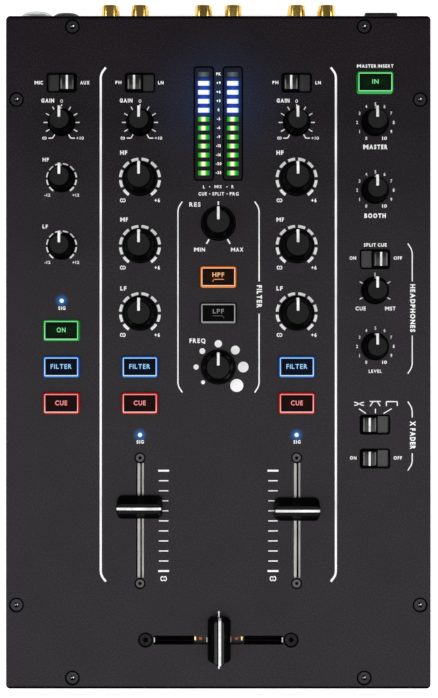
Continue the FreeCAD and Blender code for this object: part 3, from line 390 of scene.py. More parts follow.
class Finish:
    """A material: its shader's own values, and short ways to add and join nodes before it."""

    def __init__(self, name, colour, roughness, metallic=0.0, specular=0.5):
        self.material = bpy.data.materials.new(name)
        self.material.use_nodes = True
        tree = self.material.node_tree
        self.set = functools.partial(fed, tree.nodes["Principled BSDF"])
        self.add = functools.partial(added, tree)
        self.set({
            "Base Color": (*colour, 1.0),
            "Roughness": roughness,
            "Metallic": metallic,
            "Specular IOR Level": specular,
        })
        self.where = self.add("ShaderNodeTexCoord")["Object"]

    def shining(self, source):
        """Light of a colour from the surface itself."""
        self.set({"Emission Color": source, "Emission Strength": 1.0})

    def finished(self, gloss, bumps, depth, strength, paint=None):
        """The material with its roughness, a bump of a depth in metres, and a colour if given."""
        inputs = {"Height": bumps, "Distance": depth, "Strength": strength}
        self.set({"Normal": self.add("ShaderNodeBump", inputs)[0], "Roughness": gloss})
        if paint:
            self.set({"Base Color": paint})
        return self.material

    def noise(self, scale, detail=3.0, stretch=None):
        """Cloudy noise on the object, its grain at 1 / scale metres, stretched along an axis."""
        where = self.where
        if stretch:
            where = self.add("ShaderNodeMapping", {"Vector": where, "Scale": stretch})[0]
        inputs = {"Vector": where, "Scale": scale, "Detail": detail}
        return self.add("ShaderNodeTexNoise", inputs)[0]

    def spread(self, source, low, high, start=0.3, end=0.7):
        """A value brought from one range to another."""
        ends = {"From Min": start, "From Max": end, "To Min": low, "To Max": high}
        return self.add("ShaderNodeMapRange", {"Value": source, **ends})[0]

    def sums(self, operation, *terms):
        """Values joined by a sum; any of them may be a plain number."""
        return self.add("ShaderNodeMath", enumerate(terms), operation=operation)[0]

    def mixed(self, factor, *colours):
        """A colour that runs from the first to the second; either may be a plain colour."""
        ends = [(*end, 1.0) if isinstance(end, tuple) else end for end in colours]
        return self.add("ShaderNodeMix", zip((0, 6, 7), (factor, *ends)), data_type="RGBA")[2]

    def bands(self, factor, stops):
        """A colour ramp with a stop for every place and colour given."""
        ramp = self.add("ShaderNodeValToRGB", {"Fac": factor})[0]
        elements = ramp.node.color_ramp.elements
        for element, (at, colour) in zip(elements, (stops[0], stops[-1])):
            element.position, element.color = at, (*colour, 1.0)
        for at, colour in stops[1:-1]:
            elements.new(at).color = (*colour, 1.0)
        return ramp

    def varied(self, factor, colour, low, high):
        """A colour that runs from a darker to a lighter version of itself."""
        return self.bands(factor, [(0.0, shade(colour, low)), (1.0, shade(colour, high))])

    def edges(self, width):
        """How far the surface bends within a width: 0 on flats, towards 1 on edges."""
        soft = self.add("ShaderNodeBevel", {"Radius": width}, samples=4)[0]
        normals = {0: soft, 1: self.add("ShaderNodeNewGeometry")["Normal"]}
        likeness = self.add("ShaderNodeVectorMath", normals, operation="DOT_PRODUCT")["Value"]
        return self.spread(likeness, 1.0, 0.0, 0.55, 0.97)

    def facing_up(self, start, end):
        """1 where the surface faces up, 0 where it stands."""
        normal = self.add("ShaderNodeNewGeometry")["Normal"]
        up = self.add("ShaderNodeSeparateXYZ", {0: normal})[2]
        return self.spread(up, 0.0, 1.0, start, end)

    def beyond(self, axis, start, end):
        """0 before start and 1 after end, in millimetres along one axis from the panel's middle."""
        start, end = np.array([start, end]) * MM + PANEL_MIDDLE[axis]
        along = self.add("ShaderNodeSeparateXYZ", {0: self.where})[axis]
        return self.spread(along, 0.0, 1.0, start, end)

    def halo(self, x, y, across, along, strength):
        """A soft spot on the panel, fading from a strength at x and y to 0 at its half sizes."""
        size = np.array([across, along, 1000.0]) * MM
        inputs = {"Vector": self.where, "Location": -place([x, y, 0.0]) / size, "Scale": 1 / size}
        mapped = self.add("ShaderNodeMapping", inputs)[0]
        fade = self.add("ShaderNodeTexGradient", {0: mapped}, gradient_type="QUADRATIC_SPHERE")[1]
        return self.sums("MULTIPLY", fade, strength)

    def light(self, colour, halos):
        """A painted glow of one colour in several soft spots, standing in for light that falls on
        the surface.
        """
        spots = [self.halo(*halo) for halo in halos]
        total = functools.reduce(functools.partial(self.sums, "ADD"), spots)
        return self.mixed(total, (0.0, 0.0, 0.0), colour)


# Each halo of painted glow: its x, y, half width, half depth and strength
PANEL_HALOS = [(0.0, 120.0, 46.0, 42.0, 0.05), (0.0, 121.0, 15.0, 17.0, 0.04)]
PANEL_HALOS += [(x, y, 4.0, 4.0, 0.85) for x, y in SIGNAL_PLACES]
HOUSING_HALOS = [(side * METER_X, y, 5.0, 4.4, 0.9) for side in SIDES for y in BLUE_ROWS]
HOUSING_HALOS += [(side * METER_X, 122.0, 14.0, 30.0, 0.05) for side in SIDES]
# Painted shade on the panel: depths below its face, in millimetres, and its rear and front rims,
# which take the SHADED part of its colour
RECESS = (-0.3, -0.1)
REAR_RIM, FRONT_RIM = (159.4, 158.2), (-159.2, -158.6)
SHADED = 0.12


def coated(name, colour, roughness, openings=False):
    """Fine powder coat: speckled colour and gloss, cloudy roughness and a pebbled bump. On the
    panel, painted shade darkens the openings below its face and its front and rear rims, which also
    lose their reflection, and a painted blue glow lies round the meters and signal lights."""
    finish = Finish(name, colour, roughness, specular=0.27)
    speckle = finish.noise(1500.0, 2.5)
    cloud = finish.sums("MULTIPLY", finish.noise(45.0, 4.0), 0.15)
    grain = finish.sums("MULTIPLY_ADD", speckle, 0.85, cloud)
    spots = finish.spread(grain, 0.0, 1.0)
    tint = finish.varied(spots, (1.0, 1.0, 1.0), 0.5, 1.0)
    worn = finish.sums("MULTIPLY", finish.edges(0.0004), 0.12)
    paint = finish.mixed(worn, finish.varied(spots, colour, 0.75, 1.25), shade(colour, 3.0))
    if openings:
        # Painted shade: below the face the openings turn darker, and the front and rear rims turn
        # darker with no reflection.
        paint = finish.mixed(finish.beyond(2, *RECESS), shade(colour, SHADED), paint)
        rims = finish.beyond(1, *REAR_RIM), finish.beyond(1, *FRONT_RIM)
        inside = finish.sums("MULTIPLY", *rims)
        paint = finish.mixed(inside, shade(colour, SHADED), paint)
        tint = finish.mixed(inside, (0.0, 0.0, 0.0), tint)
        # Painted light: a blue glow on the panel round the meters and signal lights.
        finish.shining(finish.light((0.0, 0.26, 0.9), PANEL_HALOS))
    finish.set({"Specular Tint": tint})
    gloss = finish.spread(grain, roughness - 0.06, roughness + 0.07)
    return finish.finished(gloss, speckle, 0.0002, 0.15, paint)


def moulded(name, colour, roughness, specular=0.5, crown=None, flow=(1.0, 1.0, 0.4), lacquer=0.0):
    """Moulded plastic: marks of the flow in colour and gloss, a fine bump and a lacquer if asked.
    With a crown colour, faces that point up are painted paler: a painted highlight of the light
    from above."""
    finish = Finish(name, colour, roughness, specular=specular)
    finish.set({"Coat Weight": lacquer, "Coat Roughness": 0.14, "Coat IOR": 2.0})
    marks = finish.noise(220.0, 4.0, flow)
    grain = finish.noise(2600.0, 2.0)
    body = finish.varied(finish.spread(marks, 0.0, 1.0), colour, 0.65, 1.4)
    # Painted highlight: the upward faces take the paler crown colour.
    if crown:
        up = finish.facing_up(0.86, 0.97)
        body = finish.mixed(up, body, finish.varied(grain, crown, 0.7, 1.3))
    gloss = finish.spread(marks, roughness - 0.05, roughness + 0.06)
    return finish.finished(gloss, grain, 0.00003, 0.25, body)


def metal(name, colour, roughness, brushed=(1.0, 1.0, 1.0), dark=None, tint=(1.0, 1.0, 1.0)):
    """Metal: streaks along an axis or fine cloud, uneven gloss, edges that shine, and a black
    finish over the crossfader's end of the panel if a dark colour is given."""
    finish = Finish(name, colour, roughness, metallic=1.0)
    finish.set({"Specular Tint": (*tint, 1.0)})
    streak = finish.noise(900.0, 3.0, brushed)
    tone = finish.varied(streak, colour, 0.7, 1.2)
    if dark:
        tone = finish.mixed(finish.beyond(1, CROSS_Y + 14.0, CROSS_Y + 16.0), dark, tone)
    gloss = finish.spread(finish.noise(120.0), roughness - 0.06, roughness + 0.08)
    shine = finish.sums("MULTIPLY", finish.edges(0.0003), 0.3 * roughness)
    gloss = finish.sums("SUBTRACT", gloss, shine)
    return finish.finished(gloss, streak, 0.00002, 0.3, tone)


def lit(name, stops):
    """A lens lit from behind: its light follows the mark on each point, a little unevenly."""
    roughness = 0.35
    finish = Finish(name, (0.0012, 0.0012, 0.0012), roughness, specular=0.02)
    mark = finish.add("ShaderNodeAttribute", attribute_name="glow")["Fac"]
    uneven = finish.spread(finish.noise(700.0, 2.0), -0.015, 0.015)
    finish.shining(finish.bands(finish.sums("ADD", mark, uneven), stops))
    gloss = finish.spread(finish.noise(300.0), roughness - 0.06, roughness + 0.08)
    return finish.finished(gloss, finish.noise(1800.0), 0.00002, 0.2)


def inked(name, colour):
    """Screen-printed ink: nearly even colour, a faint grain and a dry surface."""
    finish = Finish(name, colour, 0.6, specular=0.3)
    grain = finish.noise(2200.0, 2.0)
    paint = finish.varied(grain, colour, 0.9, 1.06)
    return finish.finished(finish.spread(grain, 0.52, 0.66), grain, 0.00001, 0.3, paint)


def housing(name, colour):
    """Moulded meter housing with a painted blue glow where the segments' light would fall."""
    finish = Finish(name, colour, 0.45, specular=0.09)
    grain = finish.noise(1400.0, 2.0)
    # Painted light: blue glow from the halos.
    finish.shining(finish.light((0.0, 0.11, 0.9), HOUSING_HALOS))
    paint = finish.varied(grain, colour, 0.5, 1.5)
    return finish.finished(finish.spread(grain, 0.4, 0.52), grain, 0.00003, 0.3, paint)


COAT_BLACK, CAP_BLACK = (0.009, 0.0064, 0.009), (0.0008, 0.0008, 0.0009)
panel_coat = coated("panel_coat", COAT_BLACK, 0.25, openings=True)
case_coat = coated("case_coat", COAT_BLACK, 0.5)
white_ink = inked("white_ink", (0.94, 0.94, 0.94))
# The paler crown colours of the knobs and fader caps are painted highlights on their tops.
knob_plastic = moulded("knob_plastic", CAP_BLACK, 0.5, 0.015, (0.016, 0.0155, 0.016))
pointer_white = moulded("pointer_white", (0.9, 0.9, 0.9), 0.45, 0.4)
lever_plastic = moulded(
    "lever_plastic", (0.006, 0.006, 0.0065), 0.28, 0.2, flow=(3.0, 0.1, 1.0), lacquer=0.2)
shield_plastic = moulded("shield_plastic", (0.01, 0.0095, 0.01), 0.3, 0.6, flow=(7.0, 0.1, 1.0))
# Painted highlights on the fader caps' tops.
cap_plastic = moulded("cap_plastic", CAP_BLACK, 0.36, 0.03, (0.01, 0.01, 0.0105))
cross_cap_plastic = moulded("cross_cap_plastic", CAP_BLACK, 0.36, 0.03, (0.042, 0.042, 0.043))
switch_plastic = moulded("switch_plastic", (0.03, 0.03, 0.032), 0.5)
# Black for painted shade: slot and window edges, lever feet, screw rings and sockets, and the
# crossfader cap's groove.
gasket_black = moulded("gasket_black", (0.0008, 0.0008, 0.0008), 0.7, 0.02)
socket_plastic = moulded("socket_plastic", (0.004, 0.004, 0.0042), 0.4, 0.35)
carriage_plastic = moulded("carriage_plastic", (0.006, 0.006, 0.006), 0.4)
bead_orange = moulded("bead_orange", (0.75, 0.14, 0.03), 0.35)
red_plastic = moulded("red_plastic", (0.45, 0.02, 0.02), 0.4)
white_plastic = moulded("white_plastic", (0.78, 0.77, 0.74), 0.42)
rubber = moulded("rubber", (0.016, 0.016, 0.016), 0.8, 0.25)
board_green = moulded("board_green", (0.01, 0.07, 0.03), 0.4)
meter_plastic = housing("meter_plastic", (0.009, 0.0085, 0.0098))
fader_steel = metal(
    "fader_steel", (0.34, 0.335, 0.33), 0.32, (1.0, 0.03, 1.0), dark=(0.012, 0.012, 0.012))
bright_steel = metal("bright_steel", (0.62, 0.62, 0.62), 0.3, (1.0, 0.04, 1.0))
screw_steel = metal("screw_steel", (0.036, 0.035, 0.038), 0.42)
fader_screw_steel = metal(
    "fader_screw_steel", (0.085, 0.085, 0.087), 0.4, dark=(0.016, 0.016, 0.017))
nickel = metal("nickel", (0.6, 0.62, 0.62), 0.34, tint=(0.5, 0.52, 0.52))
brass = metal("brass", (0.9, 0.68, 0.28), 0.28)
gold = metal("gold", (0.9, 0.58, 0.16), 0.2)

# The light of a button at the first four steps, at its own bright step, and at full mark
LIGHT_STEPS = (0.0, 0.12, 0.35, 0.65)
FRAME_COLOURS = {
    "green": (
        0.9, (0.0015, 0.003, 0.0018), (0.003, 0.03, 0.006), (0.003, 0.22, 0.02),
        (0.06, 0.5, 0.12), (0.22, 0.76, 0.3), (0.36, 0.9, 0.46)),
    "blue": (
        0.9, (0.0015, 0.002, 0.004), (0.002, 0.008, 0.04), (0.006, 0.06, 0.36),
        (0.08, 0.3, 0.8), (0.34, 0.66, 1.0), (0.6, 0.83, 1.0)),
    "red": (
        0.92, (0.004, 0.0018, 0.0018), (0.03, 0.002, 0.002), (0.36, 0.006, 0.006),
        (0.75, 0.09, 0.075), (1.0, 0.33, 0.33), (1.0, 0.6, 0.58)),
    "orange": (
        0.92, (0.003, 0.002, 0.0015), (0.03, 0.008, 0.002), (0.55, 0.1, 0.008),
        (0.86, 0.3, 0.1), (1.0, 0.52, 0.28), (1.0, 0.58, 0.34)),
    # Painted light: the clear button is unlit, yet its frame, face and legend glow grey with these
    # colours.
    "clear": (
        0.92, (0.0, 0.0, 0.0), (0.003, 0.003, 0.003), (0.012, 0.012, 0.013),
        (0.12, 0.12, 0.125), (0.34, 0.34, 0.35), (0.42, 0.42, 0.43)),
}
FRAME_LIGHT = {
    name: lit(name + "_frame", list(zip((*LIGHT_STEPS, bright, 1.0), colours)))
    for name, (bright, *colours) in FRAME_COLOURS.items()
}
FULL = (1.0, 1.0, 1.0)
segment_blue = lit("segment_blue", [
    (0.0, (0.1, 0.42, 1.0)), (0.12, (0.35, 0.7, 1.0)), (0.26, FULL), (1.0, FULL)])
segment_green = lit("segment_green", [
    (0.0, (0.03, 0.26, 0.12)), (0.16, (0.004, 0.3, 0.03)), (0.5, (0.02, 0.58, 0.02)),
    (0.66, (0.4, 0.75, 0.06)), (0.8, (1.0, 1.0, 0.75)), (1.0, (1.0, 1.0, 0.95))])
# Painted light: the unlit peak segment glows a dim grey-blue, brighter in its middle.
segment_dark = lit("segment_dark", [(0.0, (0.02, 0.028, 0.032)), (1.0, (0.11, 0.15, 0.16))])
signal_blue = lit("signal_blue", [
    (0.0, (0.3, 0.7, 1.0)), (0.3, (0.8, 0.95, 1.0)), (1.0, FULL)])

for material, nodes in (
    (panel_coat, "top_panel"),
    (case_coat, "chassis_tray rear_panel"),
    (screw_steel, "panel_screws case_screws"),
    (fader_screw_steel, "fader_screws"),
    (rubber, "rubber_feet"),
    (board_green, "control_board jack_board"),
    (brass, "board_pillars"),
    (fader_steel, "fader_frames fader_rails"),
    (bright_steel, "potentiometers"),
    (nickel, "potentiometer_nuts"),
    (switch_plastic, "switch_bodies"),
    (meter_plastic, "meter_housings"),
    (socket_plastic, "power_inlet"),
    (carriage_plastic, "left_fader_carriage right_fader_carriage crossfader_carriage"),
):
    for node in nodes.split():
        mesh = frame["nodes"][node].data
        mesh.materials.clear()
        mesh.materials.append(material)


# Knobs

# Radius and height of the skirt, radii of the grip's foot and top, height, and reach of the fin
SMALL_KNOB = (6.7, 1.6, 5.9, 4.9, 15.2, 6.15)
LARGE_KNOB = (8.4, 1.8, 7.1, 5.75, 16.0, 6.95)
LARGE_FROM = 15.0
KNOB_FLOAT, KNOB_HOLLOW, HOLLOW_TOP = 0.8, 5.3, 2.95
FIN_FOOT, FIN_START = 3.0, 0.85
AXIS = 0.1


def knob_grip(skirt, skirt_height, foot, top, height, _):
    """Radius and height turned from the hollow underneath, round the skirt and up the grip to
    the crown."""
    skirt_top, crown = KNOB_FLOAT + skirt_height, KNOB_FLOAT + height
    corners = [
        (AXIS, HOLLOW_TOP), (KNOB_HOLLOW, HOLLOW_TOP), (KNOB_HOLLOW, KNOB_FLOAT),
        (skirt, KNOB_FLOAT), (skirt - 0.2, skirt_top), (foot, skirt_top + 0.5),
        (top, crown), (AXIS, crown + 0.25),
    ]
    return shell(turned(eased(corners, [0.3, 0.2, 0.35, 0.4, 0.45, 1.0], 7), 72))


def knob_fin(_, skirt_height, foot, top, height, reach):
    """A side outline from the crown's middle past the rim and down the grip, repeated across the
    fin; its two outer copies are drawn in so that the fin's edges are eased."""
    low, crown = KNOB_FLOAT + skirt_height + FIN_FOOT, KNOB_FLOAT + height
    side = eased([
        (1.7, crown - 0.9), (FIN_START, crown - 0.5), (FIN_START, crown + 0.36),
        (reach, crown + 0.14), (reach, low), (foot - 1.0, low), (top - 1.4, crown - 1.4),
    ], [0.1, 0.25, 0.4, 0.1, 0.1], 5)
    x = np.array([-0.62, -0.59, -0.5, 0.5, 0.59, 0.62])[:, None]
    inset = np.array([0.16, 0.06, 0.0, 0.0, 0.06, 0.16])[:, None]
    y, z = side.T[:, None]
    outer = np.where(y > reach - 0.5, 1.0, np.where(y < 1.2, -1.0, 0.0))
    return shell(np.stack([x + 0 * y, y - inset * outer, z - inset * (z > crown - 0.3)], -1))


for node in nodes_named("_knob"):
    size = LARGE_KNOB if middle(node)[1][0] > LARGE_FROM else SMALL_KNOB
    dressed(node, "_grip", [knob_grip(*size)], knob_plastic, "knob_plastic")
    dressed(node, "_pointer", [knob_fin(*size)], pointer_white)


# Buttons

BUTTON_WIDTH, BUTTON_DEPTH, BUTTON_CORNER = 17.2, 10.0, 1.2
BUTTON_FOOT, BUTTON_TOP, FACE_TOP = -4.25, 3.0, 2.94
LEGEND_LAYER = {"base": FACE_TOP - 0.04, "top": FACE_TOP + 0.04}
LEGEND_MARK, UNLIT_MARK, SLOPE_DIM = 0.9, 0.78, 0.22
SLOPE = np.array([(-2.7, -2.3), (-2.0, -1.2), (2.6, -1.2)])
# The light, text, height and width of each button's legend
CHANNEL_LOOKS = {"filter": ("blue", "FILTER", 2.25, 9.9), "cue": ("red", "CUE", 2.25, 5.7)}
BUTTON_LOOKS = {
    "insert_button": ("green", "IN", 2.1, 3.0),
    "mic_on_button": ("green", "ON", 2.3, 4.2),
    **{f"{channel}_{kind}_button": look for channel in ("mic", "left", "right")
       for kind, look in CHANNEL_LOOKS.items()},
    "high_pass_button": ("orange", "HPF", 2.1, 5.6),
    "low_pass_button": ("clear", "LPF", 2.1, 5.2),
}


def button_frame():
    """Rounded rectangles from the foot up the wall, over the rounded edge and down round the face;
    the mark is low on the wall, higher at the front, and bright on the flat of the border."""
    corners = [(0.0, BUTTON_FOOT), (0.0, BUTTON_TOP), (1.0, BUTTON_TOP), (1.04, 1.9)]
    profile = eased(corners, [0.65, 0.15], 8)
    rings = stacked(BUTTON_WIDTH, BUTTON_DEPTH, BUTTON_CORNER, profile)
    wall = np.interp(profile[:, 1], [0.0, 2.4], [0.2, 0.32])[:, None]
    front = 0.3 * np.clip(-rings[:, :, 1] - BUTTON_DEPTH / 2 + 1.0, 0, 1)
    flat = np.interp(profile[:, 0], [0.22, 0.52, 0.64], [0.0, 0.15, 1.0])[:, None]
    flat = flat * np.interp(rings[:, :, 1], [-4.0, 4.0], [1.0, 0.9])
    return shell(rings, np.maximum(wall + front, flat))


def button_face():
    """A plate let into the frame: rounded rectangles with an eased edge and a faint crown."""
    profile = eased([(1.06, 1.95), (1.06, 2.9), (2.2, FACE_TOP)], [0.18], 5)
    profile = np.concatenate([profile, [(4.6, FACE_TOP)]])
    marks = np.interp(profile[:, 0], [1.2, 4.6], [0.01, 0.05])
    return shell(stacked(BUTTON_WIDTH, BUTTON_DEPTH, BUTTON_CORNER, profile), marks)


for node, (light, text, height, width) in BUTTON_LOOKS.items():
    material = FRAME_LIGHT[light]
    dressed(node, "_frame", [button_frame()], material, light + "_button")
    dressed(node, "_face", [button_face()], material)
    filtering = text in ("HPF", "LPF")
    # The unlit clear button's legend glows as painted light.
    bright = UNLIT_MARK if light == "clear" else LEGEND_MARK
    raised = 1.0 if filtering else 0.2
    lettering = words(text, 0.0, raised, height, width, weight=0.02, **LEGEND_LAYER)
    legend = [marked(lettering, bright)]
    if filtering:
        path = SLOPE * (1 if text == "HPF" else -1, 1)
        legend.append(marked(ribbon(path, 0.34, *LEGEND_LAYER.values()), bright - SLOPE_DIM))
    dressed(node, "_legend", legend, material, merge=True)


# Slide levers

SLOT_WIDTH, SLOT_DEPTH, SLOT_CORNER = 14.6, 9.6, 1.5
SLOT_SHADE_WIDTH, SLOT_SHADE_PLAY = 0.8, 0.04
LEVER_FOOT, LEVER_TOP, FOOT_HALF, LEVER_HALF = -2.35, 2.8, 3.5, 3.2
RIBS_FROM, RIB_PITCH, RIB_DEPTH = 0.7, 0.55, 0.035
SHOULDERS_FROM, SHOULDER_DROP = 2.35, 0.5
LEVER_LEAN = 0.42


def lever_block():
    """A section with three wave-shaped ribs a side and sloping shoulders, carried front to back;
    the block narrows upwards, and its rows near both ends are drawn in."""
    across = np.linspace(LEVER_HALF, -LEVER_HALF, 161)
    out = np.abs(across)
    ribs = np.clip((out - RIBS_FROM) / RIB_PITCH, 0, 3)
    height = LEVER_TOP - RIB_DEPTH * (1 - np.cos(2 * np.pi * ribs))
    height -= SHOULDER_DROP * np.clip((out - SHOULDERS_FROM) / (LEVER_HALF - SHOULDERS_FROM), 0, 1)
    height -= 0.3 * np.clip((out - 3.0) / 0.2, 0, 1) ** 2
    foot = [(-FOOT_HALF, LEVER_FOOT), (FOOT_HALF, LEVER_FOOT)]
    x, z = np.concatenate([foot, np.c_[across, height]]).T[:, None]
    ends = np.array([-3.8, -3.75, -3.65, -3.45, 3.45, 3.65, 3.75, 3.8])[:, None]
    inset = np.array([0.3, 0.14, 0.05, 0.0, 0.0, 0.05, 0.14, 0.3])[:, None]
    y = ends - np.sign(ends) * LEVER_LEAN * (z - LEVER_FOOT) / (LEVER_TOP - LEVER_FOOT)
    return shell(np.stack([x * (1 - inset / FOOT_HALF), y, z - inset * (z > 0)], -1))


lever_line = block(1.05, 6.6, 0.2, 2.2, 2.86, 0.1)
lever_shield = block(19.8, 10.2, 0.6, -2.62, -2.42, 0.05)
# Painted shade: black rings round each lever's foot and inside each slot's edge stand for the
# shadow there.
lever_foot_shade = surround(8.4, 8.8, 0.6, 0.8, -2.45, -2.2)
slot_edge_shade = surround(
    SLOT_WIDTH - SLOT_SHADE_PLAY, SLOT_DEPTH - SLOT_SHADE_PLAY, SLOT_CORNER, SLOT_SHADE_WIDTH, -1.9, -0.12)
slot_edge_shades = []
for node in nodes_named("_lever"):
    dressed(node, "_block", [lever_block()], lever_plastic, "lever_plastic")
    dressed(node, "_line", [lever_line], pointer_white)
    dressed(node, "_shield", [lever_shield], shield_plastic)
    dressed(node, "_seat", [lever_foot_shade], gasket_black)
    (x, y, _), _ = middle(node)
    slot_edge_shades.append(shifted(slot_edge_shade, min(COLUMNS, key=lambda column: abs(column - x)), y))
piece("slot_liners", slot_edge_shades, gasket_black)


# Fader caps

CAP_LENGTH, CAP_HALF, CAP_RIDGE = 21.4, 5.4, 2.4
CAP_BASE, CAP_FOOT, CAP_TOP = 1.5, 4.1, 14.0
CAP_CROWN = CAP_TOP + 0.05
CAP_ROUND, CAP_END_DROP = 2.3, 0.4
CROSS_CAP_BACK, CROSS_LINE_X = 0.45, 0.3


def cap_section():
    """The outline across a cap: upright foot, hollow flank as a quadratic curve, eased ridge,
    mirrored."""
    t = np.linspace(0, 1, 16)[:, None]
    foot, hollow, ridge = np.array([(CAP_HALF, CAP_FOOT), (2.82, 8.65), (CAP_RIDGE, CAP_TOP)])
    flank = (1 - t) ** 2 * foot + 2 * t * (1 - t) * hollow + t ** 2 * ridge
    edge = eased([flank[-2], flank[-1], (0.0, CAP_CROWN)], 0.4, 6)[1:-1]
    base = [(CAP_HALF - 0.2, CAP_BASE), (CAP_HALF, CAP_BASE + 0.2)]
    half = np.concatenate([base, flank[:-2], edge])
    return np.concatenate([half, half[::-1] * (-1, 1)])


def fader_cap(along_x):
    """The section carried along the cap; both ends are drawn in by a quarter-round, in width and
    height."""
    section = cap_section()
    angle = np.linspace(0, np.pi / 2, 9)
    inset = CAP_ROUND * (1 - np.cos(angle))
    run = CAP_LENGTH / 2 - CAP_ROUND * (1 - np.sin(angle))
    inset, run = np.r_[inset[::-1], inset][:, None], np.r_[-run[::-1], run][:, None]
    wide = section[:, 0] * (1 - inset / CAP_HALF)
    lowered = 1 - CAP_END_DROP * inset / (CAP_TOP - CAP_BASE)
    tall = CAP_BASE + (section[:, 1] - CAP_BASE) * lowered
    long = run + 0 * wide
    return shell(np.stack([long, wide, tall] if along_x else [wide, long, tall], -1))


def cap_line(along_x, width, lift, start, foot=None):
    """A thin rectangle carried over a cap's end, from a foot if one is given and from a start in
    degrees on the quarter-round, along the ridge and over the other end, square to that path."""
    angle = np.radians(np.linspace(start, 0, 9))
    run = CAP_LENGTH / 2 - CAP_ROUND * (1 - np.sin(angle))
    half = np.c_[run, CAP_CROWN - CAP_END_DROP * CAP_ROUND * (1 - np.cos(angle))]
    if foot:
        half = np.concatenate([[(run[0], foot)], half])
    path = np.concatenate([half, half[::-1] * (-1, 1)])
    ahead = unit(np.gradient(path, axis=0))
    level, flat = np.zeros(len(path)), np.ones(len(path))
    order = [0, 1, 2] if along_x else [1, 0, 2]
    path, across, rise = (np.stack(parts, -1)[:, order] for parts in (
        (path[:, 0], level, path[:, 1]), (level, flat, level), (ahead[:, 1], level, -ahead[:, 0])))
    section = [(-width / 2, -0.3), (width / 2, -0.3), (width / 2, lift), (-width / 2, lift)]
    return shell(carried(section, path, across, rise))


for node in nodes_named("fader_cap"):
    extent = middle(node)[1]
    if extent[0] > extent[1]:
        dressed(node, "_grip", [fader_cap(True)], cap_plastic, "cap_plastic")
        dressed(node, "_line", [cap_line(True, 1.15, 0.06, 60.0)], pointer_white)
    else:
        grip = shifted(fader_cap(False), 0.0, CROSS_CAP_BACK)
        groove, line = (shifted(cap_line(False, *values), CROSS_LINE_X, CROSS_CAP_BACK)
                        for values in ((2.3, 0.03, 60.0), (1.25, 0.1, 90.0, 5.5)))
        dressed(node, "_grip", [grip], cross_cap_plastic, "cap_plastic")
        # Painted shade: a black strip each side of the line stands for the groove's shadow.
        dressed(node, "_groove", [groove], gasket_black)
        dressed(node, "_line", [line], pointer_white)


# Crossfader contacts and stops, seen through its slot

CARRIAGE_TOP = -6.6
STOP_X = 30.52
cross_x = middle("crossfader_carriage")[0][0]
for name, places, width, depth, rise, material in (
    ("contact_tips", (-11.4, 10.8), 0.9, 2.1, 1.3, brass),
    ("contact_beads", (-8.9, 8.3), 1.6, 1.5, 1.3, bead_orange),
    ("contact_guides", (-5.8, 5.3), 0.75, 2.4, 5.2, white_plastic),
):
    contact = block(width, depth, 0.2, CARRIAGE_TOP, CARRIAGE_TOP + rise, 0.15)
    contacts = repeated(contact, [(cross_x + at, CROSS_Y) for at in places])
    piece("crossfader_" + name, contacts, material, "crossfader")
stop = block(0.6, 2.4, 0.15, -2.1, -0.9, 0.1)
stops = repeated(stop, [(side * STOP_X, CROSS_Y) for side in SIDES])
piece("crossfader_stops", stops, bright_steel)


# Sockets in the screw heads

PANEL_SCREWS = [
    (side * x, end * y)
    for x, y in ((69.4, 154.9), (96.0, 120.2)) for side in SIDES for end in SIDES]
CROSS_SCREWS = [(side * 34.6, CROSS_Y) for side in SIDES]
CHANNEL_SCREWS = [(x, -80.1 + side * 29.9) for x in (LEFT_X, RIGHT_X) for side in SIDES]


def socket_floor(radius, rim, floor):
    """Six flat faces that fall from a rim to the middle of a socket's floor."""
    return shell(turned([(radius, floor - 0.05), (radius, rim), (0.06, floor)], 6))


def seal_ring(head, seat):
    """A black ring of painted shade in the countersink: a section between a screw's head and the
    seat, whose lip lies on the panel, turned round the screw."""
    gap, lip = seat - head, seat + 0.24
    section = [
        (head + 0.02, -gap), (head + 0.1, -gap), (seat - 0.04, -0.12), (seat - 0.03, 0.004),
        (lip, 0.004), (lip - 0.03, 0.035), (head + 0.02, 0.02)]
    return shell(turned(section, 48), loop=True)


# Painted shade: black rings round the screw heads and black socket floors.
screw_shades, socket_shades = [], []
for places, head, seat, radius in (
    (PANEL_SCREWS, 2.8, 3.35, 1.18),
    (CROSS_SCREWS, 2.85, 3.4, 1.18),
    (CHANNEL_SCREWS, 1.95, 2.42, 0.78),
):
    screw_shades += repeated(seal_ring(head, seat), places)
    socket_shades += repeated(socket_floor(radius, -0.45, -0.75), places)
piece("screw_seals", screw_shades, gasket_black)
piece("screw_socket_floors", socket_shades, gasket_black, crease=10.0)
glints = []
for radius, x, y in ((0.48, 0.4, 0.3), (0.32, -0.55, 0.1)):
    glints += repeated(shifted(socket_floor(radius, -0.3, -0.5), x, y), PANEL_SCREWS)
piece("panel_screw_glints", glints, nickel, crease=10.0)


# Level meter and signal lights

SEGMENT_HALF = 2.75
LENS_RADIUS, LENS_CURVE, LENS_TOP = 1.02, 1.05, 0.25


def segment():
    """A low rounded section carried across the bar; the mark falls from its middle to both ends."""
    along = np.linspace(-SEGMENT_HALF, SEGMENT_HALF, 25)
    section = eased([(-1.1, -1.2), (-1.1, -0.5), (1.1, -0.5), (1.1, -1.2)], 0.3, 5)
    path = np.c_[along, 0 * along, 0 * along]
    across = np.broadcast_to([0.0, 1.0, 0.0], path.shape)
    lift = np.broadcast_to([0.0, 0.0, 1.0], path.shape)
    return shell(carried(section, path, across, lift), 1 - np.abs(along + 0.2) / 2.95)


def segments(rows):
    """The segments of some rows, in both bars."""
    return repeated(segment(), [(side * METER_X, y) for side in SIDES for y in rows])


